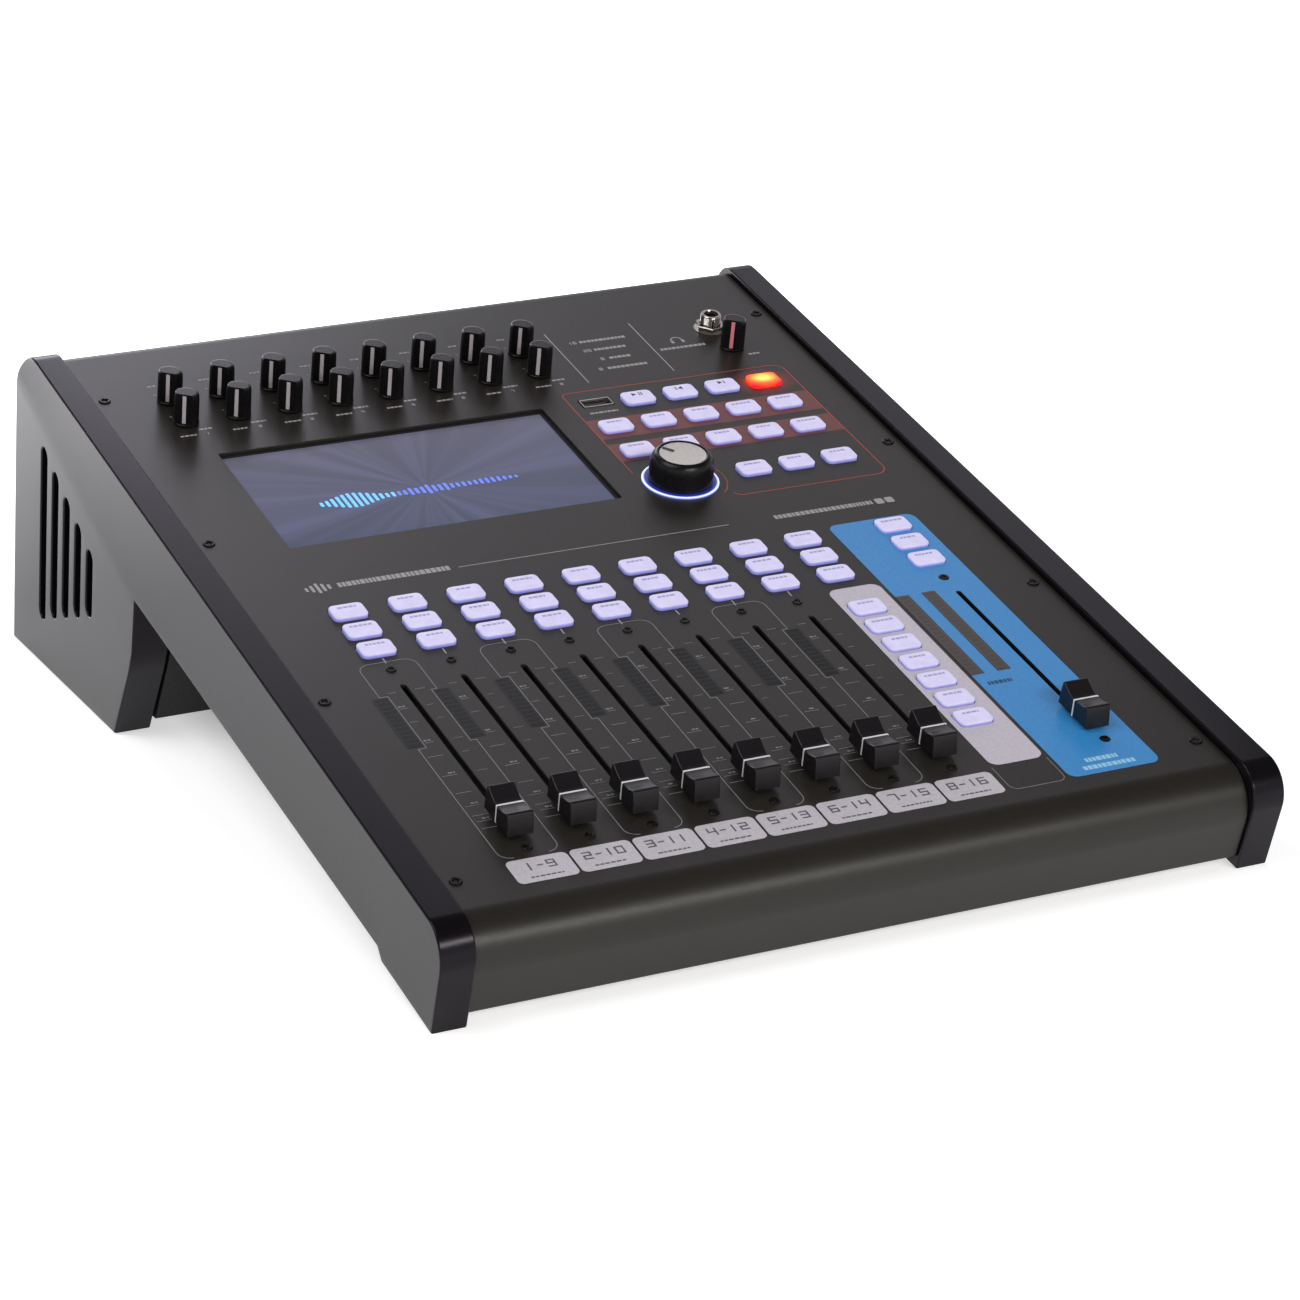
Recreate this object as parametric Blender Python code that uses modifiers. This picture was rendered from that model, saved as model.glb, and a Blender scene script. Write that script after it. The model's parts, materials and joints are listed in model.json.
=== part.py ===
"""Compact digital mixing console: a sloping control panel on a folded steel tray between two
side cheeks. Everything on the panel is laid out in panel coordinates: x to the right, s up the
slope and n out of the panel face, all in metres. An empty, desk_frame, carries that frame at
the panel's slope, so the desk stands on z = 0 with its centre over the world origin."""

import math

import bmesh
import bpy
from mathutils import Matrix

GAP = 0.0003

# Stance
SLOPE = math.radians(12.3)
FOOT_CORNER = (-0.1478, -0.0412)
FRAME_Z = -(FOOT_CORNER[0] * math.sin(SLOPE) + FOOT_CORNER[1] * math.cos(SLOPE))
GROUND_CLEARANCE = 0.0053

# Cheeks
CHEEK_INNER, CHEEK_OUTER = 0.1628, 0.1770
CHEEK_TOP = 0.0028
CHEEK_REAR = 0.3205
CHEEK_UNDER = -0.0374
CHEEK_REAR_RADIUS, CHEEK_NOSE_RADIUS = 0.0135, 0.0138
CHEEK_NOSE_S = -0.1380
LEG_FRONT = [(0.1840, None), (0.1686, -0.0750), (0.1651, -0.0635), (0.1638, CHEEK_UNDER)]
FOOT_STEP = [(-0.0963, CHEEK_UNDER), (-0.1010, FOOT_CORNER[1])]
LEG_FLARE, TOP_LEAN = 0.0020, 0.0018
CREASE_START, CREASE_RISE, CHEEK_STATIONS = 0.1638, 0.170, (0.0338, 0.1638, 0.2420)
VENT_COUNT, VENT_WIDTH, VENT_PITCH = 5, 0.0080, 0.0152
VENT_FIRST_S = 0.2810
VENT_TOPS, VENT_BOTTOMS = (-0.0303, -0.0481), (-0.1075, -0.0720)

# Top panel
PANEL_HALF = 0.1624
PANEL_T = 0.0015
PANEL_REAR, PANEL_REAR_RADIUS, PANEL_REAR_LIP = 0.3170, 0.0100, -0.0140
NOSE_S, NOSE_RADIUS = -0.1330, 0.0163
FASCIA_LEAN = math.radians(7.3)
FASCIA_BOTTOM = -0.0363
FASCIA_LIP_END = -0.1350

# Tray
TRAY_HALF, TRAY_T = 0.1618, 0.0012
TRAY_FRONT, TRAY_UNDER, TRAY_REAR = -0.1445, -0.0348, 0.3150
TRAY_LEG = [(0.1632, TRAY_UNDER), (0.1648, -0.0635), (0.1686, -0.0750), (0.1808, None)]
TRAY_SHOULDERS = [(0.3150, -0.0115), (0.3125, -0.0055), (0.3040, -0.0020),
                  (-0.1300, -0.0020), (-0.1390, -0.0045), (-0.1445, -0.0120)]

# Foot strips, as (front, rear) along s
STRIP_HALF = 0.1400
FRONT_STRIP, REAR_STRIP = (-0.1200, -0.1020), (0.2000, 0.2980)

# Rear
REAR_FACE, REAR_T = 0.3168, 0.0015
REAR_TOP, REAR_BOTTOM = -0.0146, -0.1360
CONNECTOR_PITCH, CONNECTOR_FIRST_X = 0.0300, -0.1400
CONNECTOR_ROWS = [(-0.0340, 8), (-0.0640, 8), (-0.0980, 6)]
XLR_RADIUS, TRS_RADIUS = 0.0118, 0.0056
TRS_PLACES = [(0.0340, -0.0980), (0.0540, -0.0980)]
NETWORK_PLACE, NETWORK_SIZE = (0.0760, -0.0980), (0.0160, 0.0140)
CONNECTOR_PROUD = 0.0006
INPUT_BOARD_S, INPUT_BOARD = 0.2990, ((-0.1560, 0.0880), (-0.1140, -0.0180))
INLET_X, INLET_INNER_S, INLET_FLANGE_T = 0.1280, 0.2900, 0.0015
INLET_OUTER = (-0.1225, -0.0665)
INLET_BODY_HALF, INLET_FLANGE_HALF = 0.0135, 0.0155
SOCKET_HOLE, SOCKET_HALF, SOCKET_FLOOR = (-0.1185, -0.1015), 0.0122, 0.3000
ROCKER_HOLE, ROCKER_HALF, ROCKER_FLOOR = (-0.0945, -0.0705), 0.0052, 0.3060
ROCKER_REACH, ROCKER_SIDE_GAP = 0.0100, 0.0008
ROCKER_PIVOT = (0.3120, -0.0825)
ROCKER_REST = math.radians(-8.0)

# Controls on the panel, as (x, s)
COLUMN_PITCH = 0.0254
FIRST_COLUMN_X = -0.1233
CHANNELS = 8
MASTER_X = 0.1226
KEY_W, KEY_L, KEY_CORNER, KEY_TOP = 0.0150, 0.0104, 0.0026, 0.0018
KEY_CLEARANCE = 0.0003
KEY_ROWS = [0.0709, 0.0561, 0.0414]
LAYER_X = 0.0799
BANK_X, BANK_FIRST_S, BANK_PITCH, BANK_KEYS = 0.0796, 0.0128, 0.01467, 7
MENU_PITCH, MENU_LAST_X = 0.0206, 0.1292
TRANSPORT_S, MENU_UPPER_S, MENU_LOWER_S, EDIT_S = 0.2057, 0.1845, 0.1623, 0.1329
WEB_TOP, WEB_BOTTOM, WEB_MARGIN = -0.0020, -0.0030, 0.0022
FADER_REST, FADER_TRAVEL = -0.0873, 0.0995
SLOT_HALF, SLOT_FRONT, SLOT_REAR = 0.0012, -0.0930, 0.0147
KNOB_COLUMNS, KNOB_PITCH, KNOB_FIRST_X = 8, 0.02355, -0.1299
KNOB_ROWS = [0.2606, 0.2400]
KNOB_HEIGHT = 0.0156
KNOB_POINTER = math.radians(-35.0)
SHAFT_RADIUS = 0.0029
PHONES_KNOB, PHONES_JACK = (0.1305, 0.2400), (0.1290, 0.2600)
ENCODER = (0.0528, 0.1325)
ENCODER_HEIGHT = 0.0136
RING_TOP, RING_RADIUS = 0.0010, 0.0167
USB_SOCKET, USB_SIZE, USB_WALL = (0.0482, 0.2080), (0.0144, 0.0068), 0.0006
SCREEN_X, SCREEN_S = (-0.1266, 0.0227), (0.1265, 0.2098)

# Inside
GLASS_TOP, GLASS_BOTTOM, GLASS_MARGIN = -0.0022, -0.0036, 0.0024
MODULE_TOP, MODULE_BOTTOM, MODULE_MARGIN = -0.0039, -0.0125, 0.0044
BOARD_T = 0.0016
BOARD_TOP, BOARD_HALF, BOARD_FRONT, BOARD_REAR = -0.0045, 0.1400, 0.0335, 0.2745
POT_SIDE, POT_TOP = 0.0090, -0.0026
BANK_TOP, BANK_T, BANK_BOTTOM, BANK_HALF = -0.0080, 0.0012, -0.0300, 0.1400
HOUSING_HALF, HOUSING_FRONT, HOUSING_REAR = 0.0060, -0.1050, 0.0280
HOUSING_WALL, CHANNEL_HALF, CHANNEL_N = 0.0040, 0.0042, (-0.0245, -0.0115)
STEM_HALF, CARRIAGE_HALF, CARRIAGE_REACH, CARRIAGE_N = 0.0009, 0.0036, 0.0080, (-0.0225, -0.0135)
CAP_HALF, CAP_BOTTOM = 0.0054, 0.0015

# Level parts in the leg, as (low, high) in world x, y and z
MAIN_BOARD = ((-0.1500, 0.0550), (0.1080, 0.2050), (0.0125, 0.0141))
STANDOFF, STANDOFF_INSET = 0.0060, 0.0020
HEAT_SINK = ((-0.0400, -0.0050), (0.1350, 0.1750), (0.0135, 0.0300))
PROCESSOR = ((-0.1100, -0.0800), (0.1400, 0.1700), (0.0135, 0.0165))
SUPPLY = ((0.0700, 0.1500), (0.1080, 0.2000), (0.0068, 0.0440))

COLOURS = {
    "charcoal_powder_coat": ((0.045, 0.043, 0.040), 0.42, 0.0),
    "cheek_satin_black": ((0.030, 0.027, 0.032), 0.38, 0.0),
    "black_steel": ((0.020, 0.020, 0.021), 0.55, 0.2),
    "zinc_steel": ((0.55, 0.56, 0.57), 0.40, 0.9),
    "sheet_aluminium": ((0.62, 0.63, 0.64), 0.42, 0.9),
    "black_plastic": ((0.014, 0.014, 0.015), 0.40, 0.0),
    "glass": ((0.03, 0.045, 0.075), 0.06, 0.0),
    "circuit_board": ((0.02, 0.12, 0.05), 0.5, 0.0),
    "rubber": ((0.015, 0.015, 0.015), 0.85, 0.0),
    "glowing_silicone": ((0.76, 0.73, 0.96), 0.5, 0.0),
    "glowing_red_silicone": ((1.0, 0.12, 0.02), 0.5, 0.0),
    "chrome": ((0.75, 0.75, 0.76), 0.15, 1.0),
    "light_guide": ((0.25, 0.35, 1.0), 0.3, 0.0),
}


# ---------------------------------------------------------------- outlines

def ground_n(s, height=0.0):
    """n of the point above s at a height over the ground, in panel coordinates."""
    return (height - FRAME_Z - s * math.sin(SLOPE)) / math.cos(SLOPE)


def arc(centre, radius, start, end, steps):
    """Points along a circular arc; angles in degrees."""
    angles = [math.radians(start + (end - start) * i / steps) for i in range(steps + 1)]
    return [(centre[0] + radius * math.cos(a), centre[1] + radius * math.sin(a)) for a in angles]


def ring_of(centre, radius, sides):
    return arc(centre, radius, 0, 360, sides)[:-1]


def rectangle(x0, x1, y0, y1):
    return [(x0, y0), (x1, y0), (x1, y1), (x0, y1)]


def cut_corners(centre, width, length, corner):
    """A rectangle with its four corners cut at 45 degrees."""
    x, y = width / 2, length / 2
    points = [(x, corner - y), (x, y - corner), (x - corner, y), (corner - x, y),
              (-x, y - corner), (-x, corner - y), (corner - x, -y), (x - corner, -y)]
    return [(centre[0] + a, centre[1] + b) for a, b in points]


def offset_path(path, distance):
    """The open path moved to its left by a distance, with mitred corners."""
    normals = []
    for (a, b), (c, d) in zip(path, path[1:]):
        length = math.hypot(c - a, d - b)
        normals.append(((b - d) / length, (c - a) / length))
    moved = []
    for i, (a, b) in enumerate(path):
        first = normals[max(i - 1, 0)]
        second = normals[min(i, len(normals) - 1)]
        mitre = distance / (1 + first[0] * second[0] + first[1] * second[1])
        moved.append((a + mitre * (first[0] + second[0]), b + mitre * (first[1] + second[1])))
    return moved


# ---------------------------------------------------------------- solids

AXES = {
    "n": Matrix(((1, 0, 0, 0), (0, 1, 0, 0), (0, 0, 1, 0), (0, 0, 0, 1))),
    "x": Matrix(((0, 0, 1, 0), (1, 0, 0, 0), (0, 1, 0, 0), (0, 0, 0, 1))),
    "s": Matrix(((1, 0, 0, 0), (0, 0, -1, 0), (0, 1, 0, 0), (0, 0, 0, 1))),
}


def clean(mesh):
    """Welds the mesh and turns its faces outwards."""
    work = bmesh.new()
    work.from_mesh(mesh)
    bmesh.ops.remove_doubles(work, verts=work.verts, dist=1e-6)
    bmesh.ops.recalc_face_normals(work, faces=work.faces)
    work.to_mesh(mesh)
    work.free()
    return mesh


def prism(loops, low, high, axis="n"):
    """Outlines filled and carried from low to high along one axis of the panel frame. The
    outlines are (x, s) for axis n, (s, n) for axis x and (x, n) for axis s."""
    curve = bpy.data.curves.new("outline", "CURVE")
    curve.dimensions = "2D"
    curve.fill_mode = "BOTH"
    curve.extrude = (high - low) / 2
    for loop in loops:
        spline = curve.splines.new("POLY")
        spline.points.add(len(loop) - 1)
        for point, (a, b) in zip(spline.points, loop):
            point.co = (a, b, 0, 1)
        spline.use_cyclic_u = True
    middle = -(low + high) / 2 if axis == "s" else (low + high) / 2
    mesh = mesh_of(bpy.data.objects.new("outline", curve))
    mesh.transform(AXES[axis] @ Matrix.Translation((0, 0, middle)))
    return clean(mesh)


def box(x, s, n):
    """A box from three (low, high) pairs."""
    return prism([rectangle(*x, *s)], *n)


def turned(profile, steps):
    """A solid turned about n from (radius, n) points that start and end on the axis."""
    mesh = bpy.data.meshes.new("profile")
    edges = [(i, i + 1) for i in range(len(profile) - 1)]
    mesh.from_pydata([(r, 0, n) for r, n in profile], edges, [])
    thing = bpy.data.objects.new("profile", mesh)
    screw = thing.modifiers.new("turn", "SCREW")
    screw.steps = screw.render_steps = steps
    screw.use_merge_vertices = True
    screw.merge_threshold = 1e-6
    return clean(mesh_of(thing))


def mesh_of(thing):
    """The object's evaluated mesh, with the object itself removed."""
    bpy.context.scene.collection.objects.link(thing)
    graph = bpy.context.evaluated_depsgraph_get()
    mesh = bpy.data.meshes.new_from_object(thing.evaluated_get(graph))
    bpy.data.objects.remove(thing)
    return mesh


def together(meshes):
    """Several separate bodies in one mesh."""
    work = bmesh.new()
    for mesh in meshes:
        work.from_mesh(mesh)
    whole = bpy.data.meshes.new("bodies")
    work.to_mesh(whole)
    work.free()
    return whole


def boolean(mesh, other, operation):
    """The mesh with another joined to it or cut from it."""
    tool = bpy.data.objects.new("tool", other)
    tool.hide_render = True
    tool.display_type = "WIRE"
    bpy.context.scene.collection.objects.link(tool)
    thing = bpy.data.objects.new("worked", mesh)
    modifier = thing.modifiers.new(operation.lower(), "BOOLEAN")
    modifier.operation = operation
    modifier.object = tool
    result = clean(mesh_of(thing))
    bpy.data.objects.remove(tool)
    return result


def joined(mesh, *others):
    for other in others:
        mesh = boolean(mesh, other, "UNION")
    return mesh


def cut(mesh, *others):
    for other in others:
        mesh = boolean(mesh, other, "DIFFERENCE")
    return mesh


# ---------------------------------------------------------------- scene

def clear_scene():
    for thing in list(bpy.data.objects):
        bpy.data.objects.remove(thing)


def material(name):
    if name in bpy.data.materials:
        return bpy.data.materials[name]
    colour, roughness, metallic = COLOURS[name]
    made = bpy.data.materials.new(name)
    made.use_nodes = True
    shader = made.node_tree.nodes["Principled BSDF"]
    shader.inputs["Base Color"].default_value = (*colour, 1)
    shader.inputs["Roughness"].default_value = roughness
    shader.inputs["Metallic"].default_value = metallic
    return made


def add(name, mesh, finish, place=(0, 0, 0), smooth=False):
    """A named part on the sloping panel frame, with its origin at place."""
    thing = bpy.data.objects.new(name, mesh)
    parts.objects.link(thing)
    thing.parent = frame
    thing.location = place
    if not mesh.materials:
        mesh.materials.append(material(finish))
    if smooth:
        mesh.shade_smooth()
        mesh.set_sharp_from_angle(angle=math.radians(30))
    return thing


def add_level(name, mesh, finish):
    """A named part that lies level with the ground, in world coordinates."""
    thing = add(name, mesh, finish)
    thing.parent = None
    return thing


# ---------------------------------------------------------------- casing

def cheek_outline():
    nose = arc((CHEEK_NOSE_S, CHEEK_TOP - CHEEK_NOSE_RADIUS), CHEEK_NOSE_RADIUS, 187.5, 90, 6)
    rear_centre = (CHEEK_REAR - CHEEK_REAR_RADIUS, CHEEK_TOP - CHEEK_REAR_RADIUS)
    rear = arc(rear_centre, CHEEK_REAR_RADIUS, 90, 0, 5)
    leg = [(s, ground_n(s) if n is None else n) for s, n in LEG_FRONT]
    return nose + rear + [(CHEEK_REAR, ground_n(CHEEK_REAR))] + leg + FOOT_STEP + [FOOT_CORNER]


def vent_cutter():
    """Five upright slots with round ends that pass through both cheeks and the tray."""
    loops = []
    for i in range(VENT_COUNT):
        share = i / (VENT_COUNT - 1)
        s = VENT_FIRST_S - i * VENT_PITCH
        top = VENT_TOPS[0] + share * (VENT_TOPS[1] - VENT_TOPS[0])
        bottom = VENT_BOTTOMS[0] + share * (VENT_BOTTOMS[1] - VENT_BOTTOMS[0])
        radius = VENT_WIDTH / 2
        loops.append(arc((s, top), radius, 0, 180, 4) + arc((s, bottom), radius, 180, 360, 4))
    return prism(loops, -0.2, 0.2, "x")


def side_offset(s, n):
    """How far a cheek's outer face stands out at a place: the leg flares below a crease that runs
    to the rear, and the top edge leans in towards the rear."""
    def share(value, start, end):
        return min(max((value - start) / (end - start), 0.0), 1.0)

    low = LEG_FLARE * share(s, FOOT_STEP[0][0], CREASE_START)
    top = -TOP_LEAN * share(s, CHEEK_NOSE_S, CHEEK_REAR)
    crease = CHEEK_UNDER + max(s - CREASE_START, 0.0) * CREASE_RISE
    return low + (top - low) * share(n, crease, CHEEK_TOP)


def cheek_blank(low, high):
    """The cheek's outline carried across its thickness, with its outer face bent by side_offset."""
    work = bmesh.new()
    work.from_mesh(prism([cheek_outline()], low, high, "x"))
    cuts = [((0, s, 0), (0, 1, 0)) for s in CHEEK_STATIONS]
    cuts.append(((0, CREASE_START, CHEEK_UNDER), (0, -CREASE_RISE, 1)))
    for place, normal in cuts:
        geometry = list(work.verts) + list(work.edges) + list(work.faces)
        bmesh.ops.bisect_plane(work, geom=geometry, plane_co=place, plane_no=normal)
    bmesh.ops.triangulate(work, faces=list(work.faces))
    side = 1 if high > 0 else -1
    for vertex in work.verts:
        if abs(vertex.co.x) > (CHEEK_INNER + CHEEK_OUTER) / 2:
            vertex.co.x += side * side_offset(vertex.co.y, vertex.co.z)
    blank = bpy.data.meshes.new("blank")
    work.to_mesh(blank)
    work.free()
    return clean(blank)


def cheeks():
    for name, low, high in (("left_cheek", -CHEEK_OUTER, -CHEEK_INNER),
                            ("right_cheek", CHEEK_INNER, CHEEK_OUTER)):
        add(name, cut(cheek_blank(low, high), vent_cutter()), "cheek_satin_black")


def panel_path():
    """The panel's outer skin seen from the side, from the front lip to the rear lip."""
    lean = math.degrees(FASCIA_LEAN)
    nose = arc((NOSE_S, -NOSE_RADIUS), NOSE_RADIUS, 180 + lean, 90, 8)
    fascia_s = nose[0][0] + (nose[0][1] - FASCIA_BOTTOM) * math.tan(FASCIA_LEAN)
    rear_centre = (PANEL_REAR - PANEL_REAR_RADIUS, -PANEL_REAR_RADIUS)
    rear = arc(rear_centre, PANEL_REAR_RADIUS, 90, 0, 4)
    front = [(FASCIA_LIP_END, FASCIA_BOTTOM), (fascia_s, FASCIA_BOTTOM)]
    return front + nose + rear + [(PANEL_REAR, PANEL_REAR_LIP)]


def panel_holes():
    holes = []
    for x, s in all_keys():
        grown = 2 * KEY_CLEARANCE
        holes.append(cut_corners((x, s), KEY_W + grown, KEY_L + grown, KEY_CORNER))
    for x in fader_places():
        holes.append(rectangle(x - SLOT_HALF, x + SLOT_HALF, SLOT_FRONT, SLOT_REAR))
    for place in knob_places() + [PHONES_KNOB, ENCODER]:
        holes.append(ring_of(place, SHAFT_RADIUS + 0.0006, 8))
    holes.append(ring_of(PHONES_JACK, 0.0052, 12))
    holes.append(usb_outline(GAP))
    holes.append(rectangle(*SCREEN_X, *SCREEN_S))
    return holes


def top_panel():
    path = panel_path()
    sheet = path + offset_path(path, -PANEL_T)[::-1]
    panel = prism([sheet], -PANEL_HALF, PANEL_HALF, "x")
    add("top_panel", cut(panel, prism(panel_holes(), -0.003, 0.003)), "charcoal_powder_coat")


def base_tray():
    leg = [(s, ground_n(s, GROUND_CLEARANCE) if n is None else n) for s, n in TRAY_LEG]
    floor = [(TRAY_FRONT, TRAY_UNDER)] + leg
    floor.append((TRAY_REAR, ground_n(TRAY_REAR, GROUND_CLEARANCE)))
    outer = prism([floor + TRAY_SHOULDERS], -TRAY_HALF, TRAY_HALF, "x")
    inner = offset_path([(TRAY_FRONT, 0.01)] + floor, TRAY_T)
    inner[-1] = (TRAY_REAR + 0.02, inner[-1][1] - 0.02 * math.tan(SLOPE))
    inner.append((TRAY_REAR + 0.02, 0.01))
    hollow = prism([inner], TRAY_T - TRAY_HALF, TRAY_HALF - TRAY_T, "x")
    add("base_tray", cut(outer, hollow, vent_cutter()), "black_steel")


def foot_strips():
    """Two rubber strips under the floor, level with the cheeks' own feet."""
    front, rear = FRONT_STRIP
    top = TRAY_UNDER - GAP
    wedge = [(front, top), (front, ground_n(front)), (rear, ground_n(rear)), (rear, top)]
    add("front_foot_strip", prism([wedge], -STRIP_HALF, STRIP_HALF, "x"), "rubber")
    front, rear = REAR_STRIP
    height = GROUND_CLEARANCE - GAP
    slab = [(front, ground_n(front)), (rear, ground_n(rear)),
            (rear, ground_n(rear, height)), (front, ground_n(front, height))]
    add("rear_foot_strip", prism([slab], -STRIP_HALF, STRIP_HALF, "x"), "rubber")


# ---------------------------------------------------------------- rear

def connector_outlines(clearance):
    """Outlines of everything on the connector board, as (x, n), grown by a clearance."""
    loops = []
    for n, count in CONNECTOR_ROWS:
        for i in range(count):
            centre = (CONNECTOR_FIRST_X + i * CONNECTOR_PITCH, n)
            loops.append(ring_of(centre, XLR_RADIUS + clearance, 10))
    loops += [ring_of(place, TRS_RADIUS + clearance, 8) for place in TRS_PLACES]
    x, n = NETWORK_PLACE
    w, h = NETWORK_SIZE[0] / 2 + clearance, NETWORK_SIZE[1] / 2 + clearance
    loops.append(rectangle(x - w, x + w, n - h, n + h))
    return loops


def rear_panel():
    half = INLET_BODY_HALF + GAP
    inlet = rectangle(INLET_X - half, INLET_X + half, INLET_OUTER[0] + 0.002, INLET_OUTER[1] - 0.002)
    sheet = rectangle(-TRAY_HALF, TRAY_HALF, REAR_BOTTOM, REAR_TOP)
    loops = [sheet, inlet] + connector_outlines(GAP)
    add("rear_panel", prism(loops, REAR_FACE - REAR_T, REAR_FACE, "s"), "charcoal_powder_coat")


def input_board():
    """Board behind the rear panel whose connectors fill the panel's holes."""
    board = prism([rectangle(*INPUT_BOARD[0], *INPUT_BOARD[1])],
                  INPUT_BOARD_S - BOARD_T, INPUT_BOARD_S, "s")
    inner = INPUT_BOARD_S - BOARD_T / 2
    bodies = prism(connector_outlines(0), inner, REAR_FACE + CONNECTOR_PROUD, "s")
    add("input_board", joined(board, bodies), "black_plastic")


def power_inlet():
    """Flanged mains module with a socket below and a recess for the rocker above."""
    low, high = INLET_OUTER[0] + 0.0023, INLET_OUTER[1] - 0.0023
    body = rectangle(INLET_X - INLET_BODY_HALF, INLET_X + INLET_BODY_HALF, low, high)
    flange = rectangle(INLET_X - INLET_FLANGE_HALF, INLET_X + INLET_FLANGE_HALF, *INLET_OUTER)
    face = REAR_FACE + GAP
    inlet = joined(prism([body], INLET_INNER_S, face + INLET_FLANGE_T / 2, "s"),
                   prism([flange], face, face + INLET_FLANGE_T, "s"))
    socket = rectangle(INLET_X - SOCKET_HALF, INLET_X + SOCKET_HALF, *SOCKET_HOLE)
    half = ROCKER_HALF + ROCKER_SIDE_GAP
    rocker = rectangle(INLET_X - half, INLET_X + half, *ROCKER_HOLE)
    outside = REAR_FACE + 0.01
    hollows = together([prism([socket], SOCKET_FLOOR, outside, "s"),
                        prism([rocker], ROCKER_FLOOR, outside, "s")])
    add("power_inlet", cut(inlet, hollows), "black_plastic")


def power_rocker():
    """Shallow V-shaped rocker, resting with its lower half pressed in."""
    outline = [(-0.0030, 0.0), (0.0020, -ROCKER_REACH), (0.0045, -ROCKER_REACH), (0.0028, 0.0),
               (0.0045, ROCKER_REACH), (0.0020, ROCKER_REACH)]
    mesh = prism([outline], -ROCKER_HALF, ROCKER_HALF, "x")
    mesh.transform(Matrix.Rotation(ROCKER_REST, 4, "X"))
    add("power_rocker", mesh, "black_plastic", (INLET_X, *ROCKER_PIVOT))


# ---------------------------------------------------------------- keys

def column_xs():
    return [FIRST_COLUMN_X + i * COLUMN_PITCH for i in range(CHANNELS)]


def row_xs(count):
    """The last places of a menu row, which all end at the same right-hand column."""
    return [MENU_LAST_X - MENU_PITCH * (count - 1 - i) for i in range(count)]


def key_groups():
    """Every keypad and the places of its keys."""
    groups = {}
    for i, x in enumerate(column_xs()):
        groups[f"keys_channel_{i + 1}"] = [(x, s) for s in KEY_ROWS]
    groups["keys_layer_and_master"] = [(x, s) for x in (LAYER_X, MASTER_X) for s in KEY_ROWS]
    groups["keys_bank"] = [(BANK_X, BANK_FIRST_S - i * BANK_PITCH) for i in range(BANK_KEYS)]
    transport = [(x, TRANSPORT_S) for x in row_xs(4)]
    groups["keys_transport"] = transport[:3]
    groups["key_record"] = transport[3:]
    groups["keys_menu"] = [(x, s) for s in (MENU_UPPER_S, MENU_LOWER_S) for x in row_xs(5)]
    groups["keys_edit"] = [(x, EDIT_S) for x in row_xs(3)]
    return groups


def all_keys():
    return [place for places in key_groups().values() for place in places]


def keypads():
    """Silicone keypads: raised keys on a thin web that lies behind the panel."""
    for name, places in key_groups().items():
        origin_x, origin_s = places[0]
        local = [(x - origin_x, s - origin_s) for x, s in places]
        xs, ss = [x for x, _ in local], [s for _, s in local]
        reach_x, reach_s = KEY_W / 2 + WEB_MARGIN, KEY_L / 2 + WEB_MARGIN
        web = box((min(xs) - reach_x, max(xs) + reach_x), (min(ss) - reach_s, max(ss) + reach_s),
                  (WEB_BOTTOM, WEB_TOP))
        outlines = [cut_corners(place, KEY_W, KEY_L, KEY_CORNER) for place in local]
        keys = prism(outlines, (WEB_TOP + WEB_BOTTOM) / 2, KEY_TOP)
        finish = "glowing_red_silicone" if name == "key_record" else "glowing_silicone"
        add(name, joined(web, keys), finish, (origin_x, origin_s, 0))


# ---------------------------------------------------------------- knobs and faders

def knob_places():
    return [(KNOB_FIRST_X + i * KNOB_PITCH, s) for s in KNOB_ROWS for i in range(KNOB_COLUMNS)]


def knobs():
    """Push-on knobs with a pointer groove that starts at seven o'clock."""
    top = KNOB_HEIGHT
    profile = [(0, top), (0.0048, top), (0.0052, top - 0.0005), (0.0055, 0.0008),
               (SHAFT_RADIUS, 0.0008), (SHAFT_RADIUS, -0.0022), (0, -0.0022)]
    groove = box((-0.0005, 0.0005), (-0.0080, -0.0049), (0.0020, top + 0.001))
    groove.transform(Matrix.Rotation(KNOB_POINTER, 4, "Z"))
    knob = cut(turned(profile, 16), groove)
    knob.materials.append(material("black_plastic"))
    names = [f"gain_knob_{i + 1:02d}" for i in range(2 * KNOB_COLUMNS)] + ["phones_knob"]
    for name, place in zip(names, knob_places() + [PHONES_KNOB]):
        add(name, knob, "black_plastic", (*place, 0), smooth=True)


def encoder_knob():
    """Tapered control knob with a dished cap and a pointer groove, and the ring round its foot."""
    base, top = RING_TOP + GAP, ENCODER_HEIGHT
    profile = [(0, top - 0.0006), (0.0103, top - 0.0006), (0.0106, top), (0.0113, top),
               (0.0126, top - 0.0010), (0.0134, top - 0.0028), (0.0141, base + 0.0010), (0.0141, base),
               (SHAFT_RADIUS, base), (SHAFT_RADIUS, -0.0019), (0, -0.0019)]
    groove = box((-0.0007, 0.0007), (0.0050, 0.0101), (top - 0.0012, top + 0.001))
    groove.transform(Matrix.Rotation(math.radians(40), 4, "Z"))
    knob = cut(turned(profile, 28), groove)
    add("encoder_knob", knob, "black_plastic", (*ENCODER, 0), smooth=True)
    ring = prism([ring_of(ENCODER, RING_RADIUS, 28), ring_of(ENCODER, 0.0120, 28)], GAP, RING_TOP)
    add("encoder_ring", ring, "light_guide")


def fader_places():
    return column_xs() + [MASTER_X]


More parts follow.
